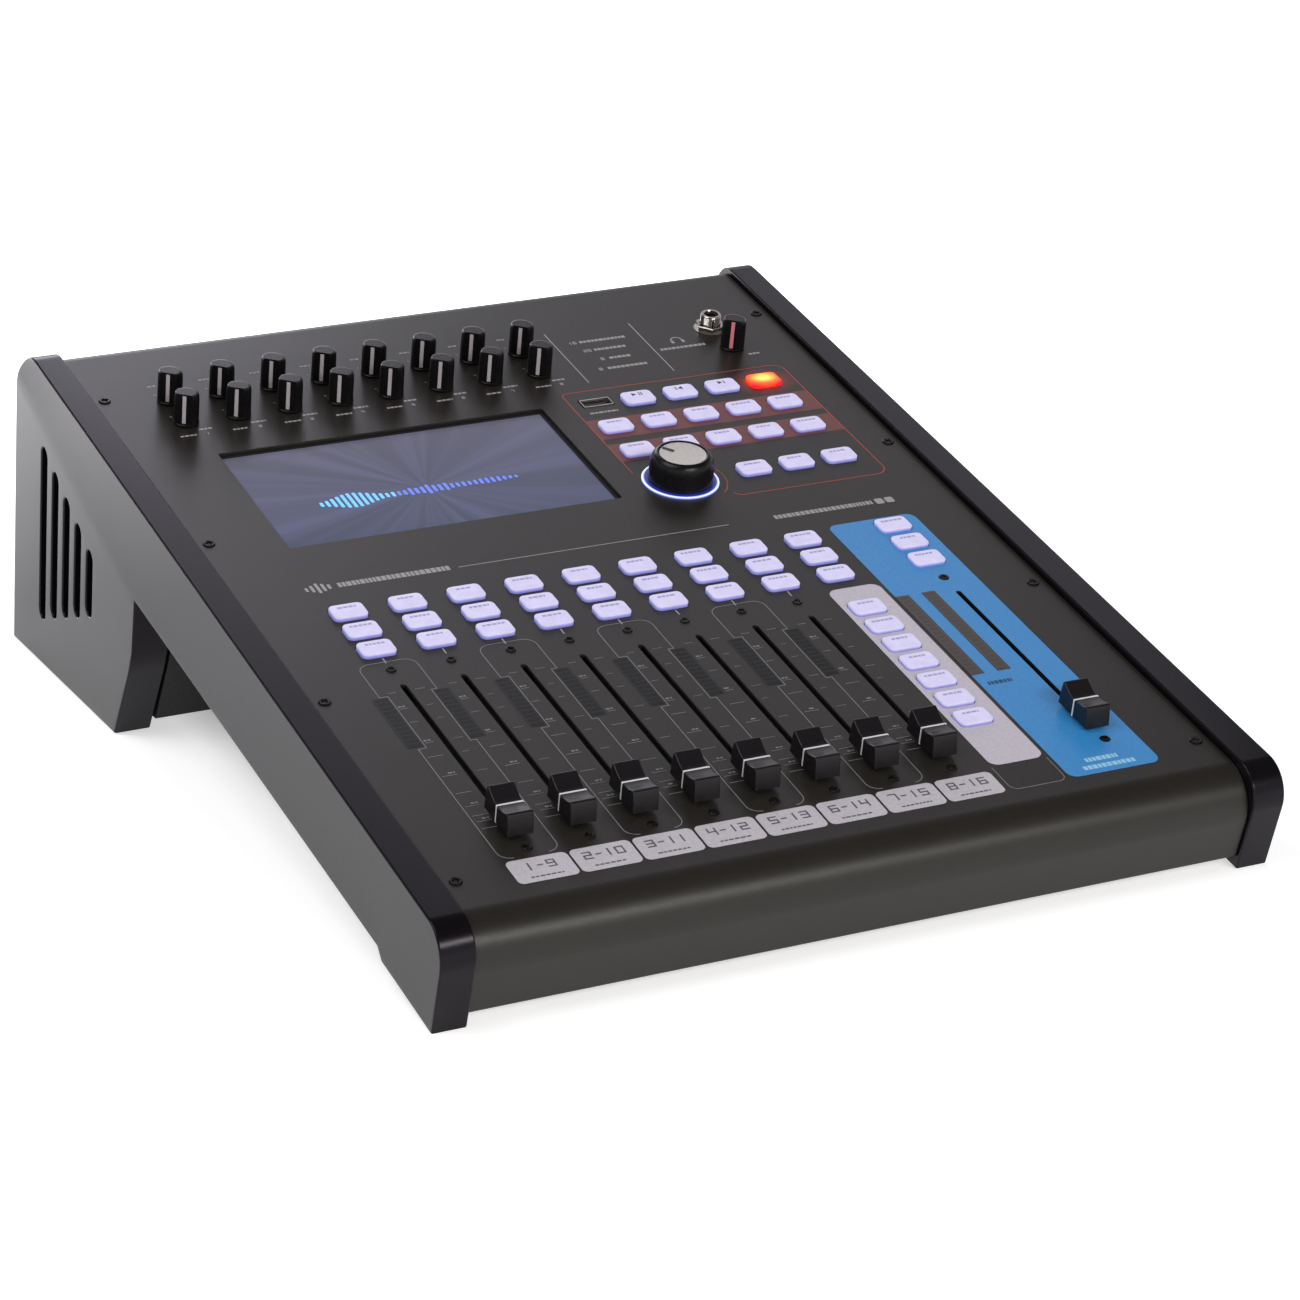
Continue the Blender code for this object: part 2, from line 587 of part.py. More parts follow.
def faders():
    """Saddle-shaped cap, flat stem through the slot and carriage in the housing."""
    front = [(-0.0108, CAP_BOTTOM), (-0.0094, 0.0102), (-0.0082, 0.0104), (-0.0045, 0.0092)]
    rear = [(0.0, 0.0088), (0.0045, 0.0099), (0.0082, 0.0119), (0.0094, 0.0117), (0.0108, CAP_BOTTOM)]
    outline = front + rear
    cap = prism([outline], -CAP_HALF, CAP_HALF, "x")
    stem_n = (CARRIAGE_N[1] - 0.001, CAP_BOTTOM + 0.001)
    stem = box((-STEM_HALF, STEM_HALF), (-0.0020, 0.0020), stem_n)
    carriage = box((-CARRIAGE_HALF, CARRIAGE_HALF), (-CARRIAGE_REACH, CARRIAGE_REACH), CARRIAGE_N)
    fader = joined(cap, stem, carriage)
    fader.materials.append(material("black_plastic"))
    names = [f"fader_{i + 1}" for i in range(CHANNELS)] + ["fader_master"]
    for name, x in zip(names, fader_places()):
        add(name, fader, "black_plastic", (x, FADER_REST, 0))


def channel_outline(x):
    """A housing's hollow across the travel: the carriage's channel under a narrow slot."""
    slot = SLOT_HALF + 0.0002
    low, high = CHANNEL_N
    right = [(x + CHANNEL_HALF, low), (x + CHANNEL_HALF, high), (x + slot, high), (x + slot, 0)]
    return right + [(2 * x - a, n) for a, n in reversed(right)]


def fader_bank():
    """Sub-plate with nine housings, each open along its slot."""
    plate = box((-BANK_HALF, BANK_HALF), (HOUSING_FRONT - 0.001, HOUSING_REAR + 0.001),
                (BANK_TOP - BANK_T, BANK_TOP))
    housings = []
    channels = []
    for x in fader_places():
        housings.append(box((x - HOUSING_HALF, x + HOUSING_HALF), (HOUSING_FRONT, HOUSING_REAR),
                            (BANK_BOTTOM, BANK_TOP - BANK_T / 2)))
        channels.append(prism([channel_outline(x)], HOUSING_FRONT + HOUSING_WALL,
                              HOUSING_REAR - HOUSING_WALL, "s"))
    bank = cut(joined(plate, together(housings)), together(channels))
    add("fader_bank", bank, "sheet_aluminium")


# ---------------------------------------------------------------- sockets

def usb_outline(clearance):
    x, s = USB_SOCKET
    w, length = USB_SIZE[0] / 2 + clearance, USB_SIZE[1] / 2 + clearance
    return rectangle(x - w, x + w, s - length, s + length)


def usb_socket():
    """Upright socket: a metal shell round a contact tongue."""
    x, s = USB_SOCKET
    shell = prism([usb_outline(0)], -0.0140, 0.0003)
    mouth = prism([usb_outline(-USB_WALL)], -0.0110, 0.0010)
    tongue = box((x - 0.0055, x + 0.0055), (s - 0.0002, s + 0.0016), (-0.0120, -0.0015))
    add("usb_socket", joined(cut(shell, mouth), tongue), "zinc_steel")


def phones_jack():
    """Threaded 6.35 mm socket with its hexagonal nut."""
    profile = [(0, -0.0140), (0.0032, -0.0140), (0.0032, 0.0075), (0.0044, 0.0075),
               (0.0047, 0.0071), (0.0047, -0.0022), (0.0062, -0.0022), (0.0062, -0.0240),
               (0, -0.0240)]
    nut = prism([ring_of((0, 0), 0.0066, 6), ring_of((0, 0), 0.0045, 12)], GAP, 0.0028)
    add("phones_jack", joined(turned(profile, 16), nut), "chrome", (*PHONES_JACK, 0))


# ---------------------------------------------------------------- inside

def display():
    x0, x1 = SCREEN_X
    s0, s1 = SCREEN_S
    glass = box((x0 - GLASS_MARGIN, x1 + GLASS_MARGIN), (s0 - GLASS_MARGIN, s1 + GLASS_MARGIN),
                (GLASS_BOTTOM, GLASS_TOP))
    add("display_glass", glass, "glass")
    module = box((x0 - MODULE_MARGIN, x1 + MODULE_MARGIN), (s0 - MODULE_MARGIN, s1 + MODULE_MARGIN),
                 (MODULE_BOTTOM, MODULE_TOP))
    add("display_module", module, "sheet_aluminium")


def control_board():
    """Board behind the keys and knobs, cut out round the display and the faders."""
    bank_low, bank_high = BANK_X - 0.0106, BANK_X + 0.0109
    screen_right = SCREEN_X[1] + 0.0118
    outline = [(-BOARD_HALF, BOARD_FRONT), (bank_low, BOARD_FRONT), (bank_low, -0.0850),
               (bank_high, -0.0850), (bank_high, BOARD_FRONT - 0.001),
               (BOARD_HALF, BOARD_FRONT - 0.001), (BOARD_HALF, BOARD_REAR),
               (-BOARD_HALF, BOARD_REAR), (-BOARD_HALF, 0.2290), (screen_right, 0.2290),
               (screen_right, 0.0900), (-BOARD_HALF, 0.0900)]
    holes = [usb_outline(0.0008), ring_of(PHONES_JACK, 0.0070, 12)]
    board = prism([outline] + holes, BOARD_TOP - BOARD_T, BOARD_TOP)
    pots = []
    for x, s in knob_places() + [PHONES_KNOB, ENCODER]:
        pots.append(rectangle(x - POT_SIDE / 2, x + POT_SIDE / 2, s - POT_SIDE / 2, s + POT_SIDE / 2))
    bodies = prism(pots, BOARD_TOP - BOARD_T / 2, POT_TOP)
    add("control_board", joined(board, bodies), "circuit_board")


def main_board():
    """Signal-processing board on four standoffs, with its heat sink."""
    (x0, x1), (y0, y1), (bottom, top) = MAIN_BOARD
    far = STANDOFF + STANDOFF_INSET
    legs = [box((x, x + STANDOFF), (y, y + STANDOFF), (SUPPLY[2][0], (bottom + top) / 2))
            for x in (x0 + STANDOFF_INSET, x1 - far) for y in (y0 + STANDOFF_INSET, y1 - far)]
    chips = together([box(*HEAT_SINK), box(*PROCESSOR)])
    add_level("main_board", joined(box(*MAIN_BOARD), together(legs), chips), "circuit_board")


def power_supply():
    add_level("power_supply", box(*SUPPLY), "sheet_aluminium")


def frame_y():
    """The frame's y, which puts the cheeks' outline centrally over the world origin."""
    ys = [s * math.cos(SLOPE) - n * math.sin(SLOPE) for s, n in cheek_outline()]
    return -(min(ys) + max(ys)) / 2


clear_scene()
parts = bpy.data.collections.new("digital_mixing_console")
bpy.context.scene.collection.children.link(parts)
frame = bpy.data.objects.new("desk_frame", None)
parts.objects.link(frame)
frame.rotation_euler.x = SLOPE
frame.location = (0, frame_y(), FRAME_Z)

cheeks()
top_panel()
base_tray()
foot_strips()
rear_panel()
input_board()
power_inlet()
power_rocker()
keypads()
knobs()
encoder_knob()
faders()
fader_bank()
usb_socket()
phones_jack()
display()
control_board()
main_board()
power_supply()
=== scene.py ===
"""Looks of the compact digital mixing console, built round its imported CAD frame.

Everything on the control panel is laid out in panel coordinates: x to the right, s up the slope and
n out of the panel face, in metres. Closed pieces are made from outlines and turned profiles."""

import json
import math
import random

import bmesh
import bpy
from mathutils import Matrix, Vector
from mathutils.geometry import tessellate_polygon

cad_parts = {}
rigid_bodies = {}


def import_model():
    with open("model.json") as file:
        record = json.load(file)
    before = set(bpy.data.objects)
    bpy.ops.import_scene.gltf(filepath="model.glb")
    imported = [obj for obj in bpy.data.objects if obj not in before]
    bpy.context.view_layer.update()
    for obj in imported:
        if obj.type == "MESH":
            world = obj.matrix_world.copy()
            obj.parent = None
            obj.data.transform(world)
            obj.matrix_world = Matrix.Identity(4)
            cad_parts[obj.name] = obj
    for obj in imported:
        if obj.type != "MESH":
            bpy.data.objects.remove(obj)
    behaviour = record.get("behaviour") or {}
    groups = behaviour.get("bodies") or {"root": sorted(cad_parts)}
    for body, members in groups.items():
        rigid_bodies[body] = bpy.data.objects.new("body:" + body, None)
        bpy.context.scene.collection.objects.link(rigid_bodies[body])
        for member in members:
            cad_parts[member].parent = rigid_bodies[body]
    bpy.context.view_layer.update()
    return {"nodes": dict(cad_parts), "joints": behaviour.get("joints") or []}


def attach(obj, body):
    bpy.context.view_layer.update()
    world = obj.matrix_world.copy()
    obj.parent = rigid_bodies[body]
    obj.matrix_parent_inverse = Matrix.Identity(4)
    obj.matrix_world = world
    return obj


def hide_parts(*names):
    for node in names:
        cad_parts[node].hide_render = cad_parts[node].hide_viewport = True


for leftover in list(bpy.data.objects):
    bpy.data.objects.remove(leftover)

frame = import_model()
JOINTS = {joint["name"]: joint for joint in frame["joints"]}

# ---- panel frame

KNOB_ONE = (-0.1299, 0.2606)
RIGHT = Vector((1, 0, 0))
UPSLOPE = Vector(JOINTS["fader_1_slide"]["axis"]).normalized()
OUTWARD = RIGHT.cross(UPSLOPE)
ORIGIN = Vector(JOINTS["gain_turn_01"]["pos_m"]) - RIGHT * KNOB_ONE[0] - UPSLOPE * KNOB_ONE[1]
PANEL = Matrix.Translation(ORIGIN) @ Matrix((RIGHT, UPSLOPE, OUTWARD)).transposed().to_4x4()
SLOPE = math.atan2(UPSLOPE.z, UPSLOPE.y)


def ground_n(s):
    """n of the point above s that lies on the floor."""
    return (-ORIGIN.z - s * math.sin(SLOPE)) / math.cos(SLOPE)


# ---- sizes

PANEL_HALF, PANEL_T, HOLE_EDGE = 0.1624, 0.0015, 0.00022
PANEL_REAR, PANEL_REAR_RADIUS, PANEL_REAR_LIP = 0.317, 0.01, -0.014
NOSE_S, NOSE_RADIUS = -0.133, 0.0163
FASCIA_LEAN, FASCIA_BOTTOM, FASCIA_LIP_END = 7.3, -0.0363, -0.135
CHEEK_INNER, CHEEK_OUTER, CHEEK_TOP, CHEEK_REAR = 0.1628, 0.177, 0.0028, 0.3205
CHEEK_NOSE_S, CHEEK_NOSE_RADIUS, CHEEK_REAR_RADIUS, CHEEK_UNDER = -0.138, 0.0138, 0.0135, -0.0374
CHEEK_EDGE, EDGE_STEPS = 0.0008, 3
LEG_FRONT = [(0.184, None), (0.1686, -0.075), (0.1651, -0.0635), (0.1638, CHEEK_UNDER)]
FOOT = [(-0.0963, CHEEK_UNDER), (-0.101, -0.0412), (-0.1478, -0.0412)]
LEG_FLARE, TOP_LEAN, CREASE_START, CREASE_RISE, CREASE_SOFT = 0.002, 0.0018, 0.1638, 0.17, 0.004
BEND_FIRST, BEND_PITCH, BEND_CUTS = -0.12, 0.0236, 19
VENTS, VENT_WIDTH, VENT_PITCH, VENT_FIRST = 5, 0.008, 0.0152, 0.281
VENT_TOPS, VENT_BOTTOMS = (-0.0303, -0.0481), (-0.1075, -0.072)
REAR_FACE = 0.3168

PITCH, FIRST_X, CHANNELS, MASTER_X = 0.0254, -0.1233, 8, 0.1226
KEY_W, KEY_L, KEY_CORNER, KEY_TOP, KEY_GAP = 0.0144, 0.0102, 0.0023, 0.0018, 0.0003
KEY_ROWS = (0.0709, 0.0561, 0.0414)
LAYER_X, BANK_X, BANK_FIRST, BANK_PITCH, BANK_KEYS = 0.0799, 0.0796, 0.0128, 0.01467, 7
MENU_PITCH, MENU_LAST = 0.0206, 0.1292
TRANSPORT_S, MENU_UPPER_S, MENU_LOWER_S, EDIT_S = 0.2057, 0.1845, 0.1623, 0.1329
FADER_REST, SLOT_HALF, SLOT_FRONT, SLOT_REAR = -0.0873, 0.0012, -0.093, 0.0147
KNOB_PITCH, KNOB_ROWS = 0.02355, (0.2606, 0.24)
KNOB_TOP, KNOB_RADIUS, KNOB_FLAT, KNOB_TURN = 0.0153, 0.0054, 0.004, math.radians(-35)
PHONES_KNOB, PHONES_JACK, ENCODER = (0.1305, 0.24), (0.129, 0.26), (0.0528, 0.1325)
USB, USB_HALF, USB_LENGTH = (0.0482, 0.208), 0.0072, 0.0034
SCREEN = (-0.1266, 0.0227, 0.1265, 0.2098)
GLASS_TOP, GLASS_BOTTOM, GLASS_MARGIN = -0.0022, -0.0036, 0.0024
PANEL_SCREWS = [(side * 0.1567, s) for side in (-1, 1) for s in (0.2678, 0.1389, 0.0115, -0.1164)]
FADER_SCREWS, FADER_SCREW_HOLE = (0.0262, -0.1043), 0.0023
LARGE_SCREW, SMALL_SCREW = (0.0026, 0.0014), (0.0021, 0.0011)
PRINT_LOW, PRINT_HIGH, PLATE_HIGH, ON_PLATE = 0.00002, 0.00006, 0.00012, (0.0001, 0.00016)
ON_KEY = (KEY_TOP - 0.00003, KEY_TOP + 0.00004)

COLUMNS = [FIRST_X + i * PITCH for i in range(CHANNELS)]
FADER_XS = COLUMNS + [MASTER_X]
KNOBS = [(KNOB_ONE[0] + i * KNOB_PITCH, s) for s in KNOB_ROWS for i in range(CHANNELS)]


def row_xs(count):
    """The last places of a menu row, which all end at the same right-hand column."""
    return [MENU_LAST - MENU_PITCH * (count - 1 - i) for i in range(count)]


KEYPADS = {f"keys_channel_{i + 1}": [(x, s) for s in KEY_ROWS] for i, x in enumerate(COLUMNS)}
KEYPADS["keys_layer_and_master"] = [(x, s) for x in (LAYER_X, MASTER_X) for s in KEY_ROWS]
KEYPADS["keys_bank"] = [(BANK_X, BANK_FIRST - i * BANK_PITCH) for i in range(BANK_KEYS)]
KEYPADS["keys_transport"] = [(x, TRANSPORT_S) for x in row_xs(4)[:3]]
KEYPADS["key_record"] = [(row_xs(4)[3], TRANSPORT_S)]
KEYPADS["keys_menu"] = [(x, s) for s in (MENU_UPPER_S, MENU_LOWER_S) for x in row_xs(5)]
KEYPADS["keys_edit"] = [(x, EDIT_S) for x in row_xs(3)]


# ---- outlines

def arc(centre, radius, start, end, steps):
    angles = [math.radians(start + (end - start) * i / steps) for i in range(steps + 1)]
    return [(centre[0] + radius * math.cos(a), centre[1] + radius * math.sin(a)) for a in angles]


def circle(centre, radius, sides):
    return arc(centre, radius, 0, 360, sides)[:-1]


def rectangle(x0, x1, y0, y1):
    return [(x0, y0), (x1, y0), (x1, y1), (x0, y1)]


def rounded(x0, x1, y0, y1, radius, steps=5):
    """A rectangle with round corners, counter-clockwise."""
    corners = ((x1, y0, -90), (x1, y1, 0), (x0, y1, 90), (x0, y0, 180))
    points = []
    for x, y, start in corners:
        centre = (x + (radius if x == x0 else -radius), y + (radius if y == y0 else -radius))
        points += arc(centre, radius, start, start + 90, steps)
    return points


def key_outline(centre, grow=0.0):
    x, s = centre
    w, length = KEY_W / 2 + grow, KEY_L / 2 + grow
    return rounded(x - w, x + w, s - length, s + length, KEY_CORNER + grow, 4)


def hole(outline):
    """The outline turned clockwise, as a hole in a plate."""
    return outline[::-1]


def unit(a, b):
    length = math.hypot(b[0] - a[0], b[1] - a[1])
    return ((b[0] - a[0]) / length, (b[1] - a[1]) / length)


def mitre(before, after, distance):
    """The step from a corner to the corner of the line a distance to the left."""
    share = distance / max(1 + before[0] * after[0] + before[1] * after[1], 0.2)
    return (-(before[1] + after[1]) * share, (before[0] + after[0]) * share)


def inset(loop, distance):
    """The closed outline moved into its own material."""
    if not distance:
        return list(loop)
    count = len(loop)
    moved = []
    for i, point in enumerate(loop):
        step = mitre(unit(loop[i - 1], point), unit(point, loop[(i + 1) % count]), distance)
        moved.append((point[0] + step[0], point[1] + step[1]))
    return moved


def offset_path(path, distance):
    """The open path moved to its left."""
    moved = []
    for i, point in enumerate(path):
        before = unit(path[max(i - 1, 0)], path[max(i, 1)])
        after = unit(path[min(i, len(path) - 2)], path[min(i + 1, len(path) - 1)])
        step = mitre(before, after, distance)
        moved.append((point[0] + step[0], point[1] + step[1]))
    return moved


def stroke(path, width):
    """The outline of a line of a given width along an open path."""
    return offset_path(path, -width / 2) + offset_path(path, width / 2)[::-1]


# ---- shapes

TO_N = Matrix.Identity(4)
TO_X = Matrix(((0, 0, 1, 0), (1, 0, 0, 0), (0, 1, 0, 0), (0, 0, 0, 1)))


class Shape:
    """Points and faces of one or more closed bodies, with a finish number for each face."""

    def __init__(self):
        self.points, self.faces, self.finishes = [], [], []

    def add(self, points, faces, finish=0):
        base = len(self.points)
        self.points += [tuple(p) for p in points]
        self.faces += [tuple(base + i for i in face) for face in faces]
        self.finishes += [finish] * len(faces)
        return self

    def moved(self, matrix):
        out = Shape()
        out.points = [tuple(matrix @ Vector(p)) for p in self.points]
        out.faces, out.finishes = list(self.faces), list(self.finishes)
        return out

    def at(self, x, s, n=0.0, turn=0.0):
        return self.moved(Matrix.Translation((x, s, n)) @ Matrix.Rotation(turn, 4, "Z"))

    def join(self, *others):
        for other in others:
            base = len(self.points)
            self.points += other.points
            self.faces += [tuple(base + i for i in face) for face in other.faces]
            self.finishes += other.finishes
        return self


def convex(loop):
    count = len(loop)
    for i in range(count):
        a, b, c = loop[i - 1], loop[i], loop[(i + 1) % count]
        if (b[0] - a[0]) * (c[1] - b[1]) - (b[1] - a[1]) * (c[0] - b[0]) < -1e-12:
            return False
    return True


def walls(loops, sections):
    """Outlines carried through sections of (height, inset): the points, the faces between them and
    each section's outlines as (first point, number of points)."""
    points, faces, rings = [], [], []
    for height, distance in sections:
        level = []
        for loop in loops:
            level.append((len(points), len(loop)))
            points += [(x, y, height) for x, y in inset(loop, distance)]
        rings.append(level)
    for lower, upper in zip(rings, rings[1:]):
        for (a, count), (b, _) in zip(lower, upper):
            faces += [(a + i, a + (i + 1) % count, b + (i + 1) % count, b + i)
                      for i in range(count)]
    return points, faces, rings


def plate(loops, sections, finish=0, axis=TO_N):
    """A closed solid through sections of (height, inset). The first outline is counter-clockwise
    and the others, clockwise, are holes in it."""
    points, faces, rings = walls(loops, sections)
    for level, up in ((rings[0], False), (rings[-1], True)):
        if len(loops) == 1 and convex(loops[0]):
            start, count = level[0]
            cap = tuple(range(start, start + count))
            faces.append(cap if up else cap[::-1])
            continue
        flat = [[Vector(points[start + i]) for i in range(count)] for start, count in level]
        index = [start + i for start, count in level for i in range(count)]
        for triangle in tessellate_polygon(flat):
            a, b, c = (index[i] for i in triangle)
            pa, pb, pc = points[a], points[b], points[c]
            area = (pb[0] - pa[0]) * (pc[1] - pa[1]) - (pb[1] - pa[1]) * (pc[0] - pa[0])
            faces.append((a, b, c) if (area > 0) == up else (a, c, b))
    return Shape().add(points, faces, finish).moved(axis)


def round_edges(low, high, radius):
    """Sections of a plate whose lower and upper edges are rounded."""
    bends = [(radius * (1 - math.cos(a)), radius * (1 - math.sin(a)))
             for a in (math.pi / 2 * i / EDGE_STEPS for i in range(EDGE_STEPS + 1))]
    return [(low + rise, step) for rise, step in bends] + \
        [(high - rise, step) for rise, step in reversed(bends)]


def slab(loops, low, high, finish=0, axis=TO_N):
    return plate(loops, [(low, 0), (high, 0)], finish, axis)


def brick(x, s, n, finish=0):
    return slab([rectangle(*x, *s)], *n, finish)


def turned(profile, steps, finish=0):
    """A solid turned about n from (radius, n) points; a profile off the axis closes on itself."""
    points, faces, rings = [], [], []
    for radius, height in profile:
        if radius <= 0:
            rings.append([len(points)])
            points.append((0, 0, height))
            continue
        rings.append(list(range(len(points), len(points) + steps)))
        points += [(x, y, height) for x, y in circle((0, 0), radius, steps)]
    pairs = list(zip(rings, rings[1:]))
    if profile[0][0] > 0:
        pairs.append((rings[-1], rings[0]))
    for first, second in pairs:
        for i in range(steps):
            j = (i + 1) % steps
            face = [first[i % len(first)], first[j % len(first)],
                    second[j % len(second)], second[i % len(second)]]
            faces.append(tuple(dict.fromkeys(face)))
    return Shape().add(points, faces, finish)


# ---- materials

def srgb(*values):
    """Linear colour of 0-255 sRGB values."""
    return [(v / 255 / 12.92) if v <= 10 else ((v / 255 + 0.055) / 1.055) ** 2.4 for v in values]


class Paint:
    """A Principled material with helpers for procedural detail in object coordinates."""

    def __init__(self, name, **constants):
        self.material = bpy.data.materials.new(name)
        self.material.use_nodes = True
        self.tree = self.material.node_tree
        self.shader = self.tree.nodes["Principled BSDF"]
        self.place = self.node("ShaderNodeTexCoord").outputs["Object"]
        for key, value in constants.items():
            socket = self.shader.inputs[key.replace("_", " ")]
            socket.default_value = (*value, 1) if isinstance(value, (list, tuple)) else value

    def node(self, kind, **settings):
        made = self.tree.nodes.new(kind)
        for key, value in settings.items():
            setattr(made, key, value)
        return made

    def link(self, source, target):
        self.tree.links.new(source, target)
        return self

    def stretched(self, scale):
        mapping = self.node("ShaderNodeMapping")
        mapping.inputs["Scale"].default_value = scale
        self.link(self.place, mapping.inputs["Vector"])
        return mapping.outputs["Vector"]

    def noise(self, scale, detail=3.0, stretch=None):
        made = self.node("ShaderNodeTexNoise")
        made.inputs["Scale"].default_value = scale
        made.inputs["Detail"].default_value = detail
        made.inputs["Roughness"].default_value = 0.5
        self.link(self.stretched(stretch) if stretch else self.place, made.inputs["Vector"])
        return made.outputs["Fac"]

    def ramp(self, source, *stops):
        """A colour ramp of (position, colour) stops."""
        made = self.node("ShaderNodeValToRGB")
        elements = made.color_ramp.elements
        while len(elements) < len(stops):
            elements.new(0.5)
        for element, (position, colour) in zip(elements, stops):
            element.position = position
            element.color = (*colour, 1)
        self.link(source, made.inputs["Fac"])
        return made.outputs["Color"]

    def span(self, source, low, high, start=0.3, end=0.7):
        """The source's start to end carried over low to high."""
        made = self.node("ShaderNodeMapRange")
        for socket, value in (("From Min", start), ("From Max", end),
                              ("To Min", low), ("To Max", high)):
            made.inputs[socket].default_value = value
        self.link(source, made.inputs["Value"])
        return made.outputs["Result"]

    def mottle(self, colour, spread, scale, detail=3.0, stretch=None):
        """Base colour that drifts either side of one colour."""
        dark, light = [c * (1 - spread) for c in colour], [c * (1 + spread) for c in colour]
        source = self.noise(scale, detail, stretch)
        self.link(self.ramp(source, (0.3, dark), (0.7, light)), self.shader.inputs["Base Color"])
        return self

    def rough(self, low, high, scale, stretch=None):
        self.link(self.span(self.noise(scale, stretch=stretch), low, high),
                  self.shader.inputs["Roughness"])
        return self

    def bump(self, scale, depth, stretch=None):
        made = self.node("ShaderNodeBump")
        made.inputs["Strength"].default_value = 1.0
        made.inputs["Distance"].default_value = depth
        self.link(self.noise(scale, 2.0, stretch), made.inputs["Height"])
        self.link(made.outputs["Normal"], self.shader.inputs["Normal"])
        return self

    def mix(self, blend, factor, a, b):
        made = self.node("ShaderNodeMix", data_type="RGBA", blend_type=blend)
        made.inputs["Factor"].default_value = factor
        self.link(a, made.inputs["A"]).link(b, made.inputs["B"])
        return made.outputs["Result"]

    def math(self, operation, *sources):
        """A sum of outputs or numbers."""
        made = self.node("ShaderNodeMath", operation=operation)
        for source, socket in zip(sources, made.inputs):
            if isinstance(source, float):
                socket.default_value = source
            else:
                self.link(source, socket)
        return made.outputs[0]

    def glowing(self, colour):
        """The colour both as paint and as light."""
        self.link(colour, self.shader.inputs["Base Color"])
        return self.link(colour, self.shader.inputs["Emission Color"])

    def coordinate(self, axis):
        split = self.node("ShaderNodeSeparateXYZ")
        self.link(self.place, split.inputs["Vector"])
        return split.outputs[axis]

    def away(self, centre, reach):
        """Distance from a place, as a share of a reach along each of the object's axes."""
        shifted = self.node("ShaderNodeMapping")
        shifted.inputs["Location"].default_value = [-c / r for c, r in zip(centre, reach)]
        shifted.inputs["Scale"].default_value = [1 / r for r in reach]
        self.link(self.place, shifted.inputs["Vector"])
        length = self.node("ShaderNodeVectorMath", operation="LENGTH")
        self.link(shifted.outputs["Vector"], length.inputs[0])
        return length.outputs["Value"]

    def along(self, axis, low, high):
        """0 to 1 from low to high along one of the object's axes."""
        return self.span(self.coordinate(axis), 0.0, 1.0, low, high)


def coated(name, colour, low, high, grain, depth, spread=0.1, **more):
    """Fine-grained coat: drifting colour, uneven gloss and a grain in the surface."""
    paint = Paint(name, **more)
    paint.mottle(colour, spread, 60, 4).rough(low, high, 900).bump(grain, depth)
    return paint.material


def printed(name, colour, rough, **more):
    """Thin ink or film of one colour, with a slight speckle."""
    paint = Paint(name, **more)
    return paint.mottle(colour, 0.07, 700, 2).rough(rough - 0.06, rough + 0.06, 1500).material


def lit(name, top, side, strength, low, high, rough=0.42, share=0.8):
    """Back-lit silicone: paler and brighter towards the top of each key."""
    paint = Paint(name, Emission_Strength=strength)
    height = paint.along("Z", low, high)
    speckle = paint.noise(260, 2)
    for socket, gain in (("Base Color", share), ("Emission Color", 1.0)):
        middle = [(a + b) / 2 for a, b in zip(side, top)]
        colour = paint.ramp(height, (0.0, side), (0.55, middle), (1.0, top))
        shade = paint.ramp(speckle, (0.3, [0.9 * gain] * 3), (0.7, [gain] * 3))
        paint.link(paint.mix("MULTIPLY", 1.0, colour, shade), paint.shader.inputs[socket])
    paint.rough(rough - 0.05, rough + 0.05, 1200).bump(2600, 0.00002)
    return paint.material


def record_silicone():
    """Red key with an orange light behind its middle."""
    x, s = KEYPADS["key_record"][0]
    paint = Paint("record_silicone", Emission_Strength=1.5)
    colour = paint.ramp(paint.away((x, s + 0.0006, KEY_TOP), (0.0095, 0.007, 0.004)),
                        (0.0, srgb(255, 212, 118)), (0.34, srgb(255, 160, 58)),
                        (0.66, srgb(255, 84, 34)), (1.0, srgb(238, 20, 24)))
    return paint.glowing(colour).rough(0.38, 0.48, 1200).bump(2600, 0.00002).material


def ring_light():
    """Light guide that is dark blue under the knob's edge and bright near its own."""
    paint = Paint("encoder_ring_light", Emission_Strength=1.15)
    colour = paint.ramp(paint.away((0, 0, 0), [0.017] * 3), (0.0, srgb(10, 16, 90)),
                        (0.905, srgb(26, 34, 104)), (0.94, srgb(166, 178, 250)),
                        (0.968, srgb(208, 216, 255)), (0.985, srgb(66, 76, 176)))
    return paint.glowing(colour).rough(0.3, 0.4, 1200).material


def panel_coat():
    """The panel's powder coat, with the record key's red light painted round the key as emission.
    """
    paint = Paint("charcoal_powder_coat", Emission_Strength=1.0, Specular_IOR_Level=0.34)
    paint.mottle(CHARCOAL, 0.06, 60, 4).rough(0.34, 0.42, 900).bump(3400, 0.00001)
    x, s = KEYPADS["key_record"][0]
    # painted light: a pool of red emission in the coat round the record key, standing in for the
    # light the key throws
    glow = paint.ramp(paint.away((x, s, 0), (0.0165, 0.0125, 0.04)), (0.4, srgb(190, 24, 20)),
                      (0.62, srgb(84, 8, 8)), (1.0, [0.0] * 3))
    paint.link(glow, paint.shader.inputs["Emission Color"])
    return paint.material


def metal(name, colour, low, high, scale, stretch=None):
    paint = Paint(name, Metallic=1.0)
    paint.mottle(colour, 0.06, scale, stretch=stretch).rough(low, high, scale, stretch)
    return paint.bump(scale, 0.00001, stretch).material


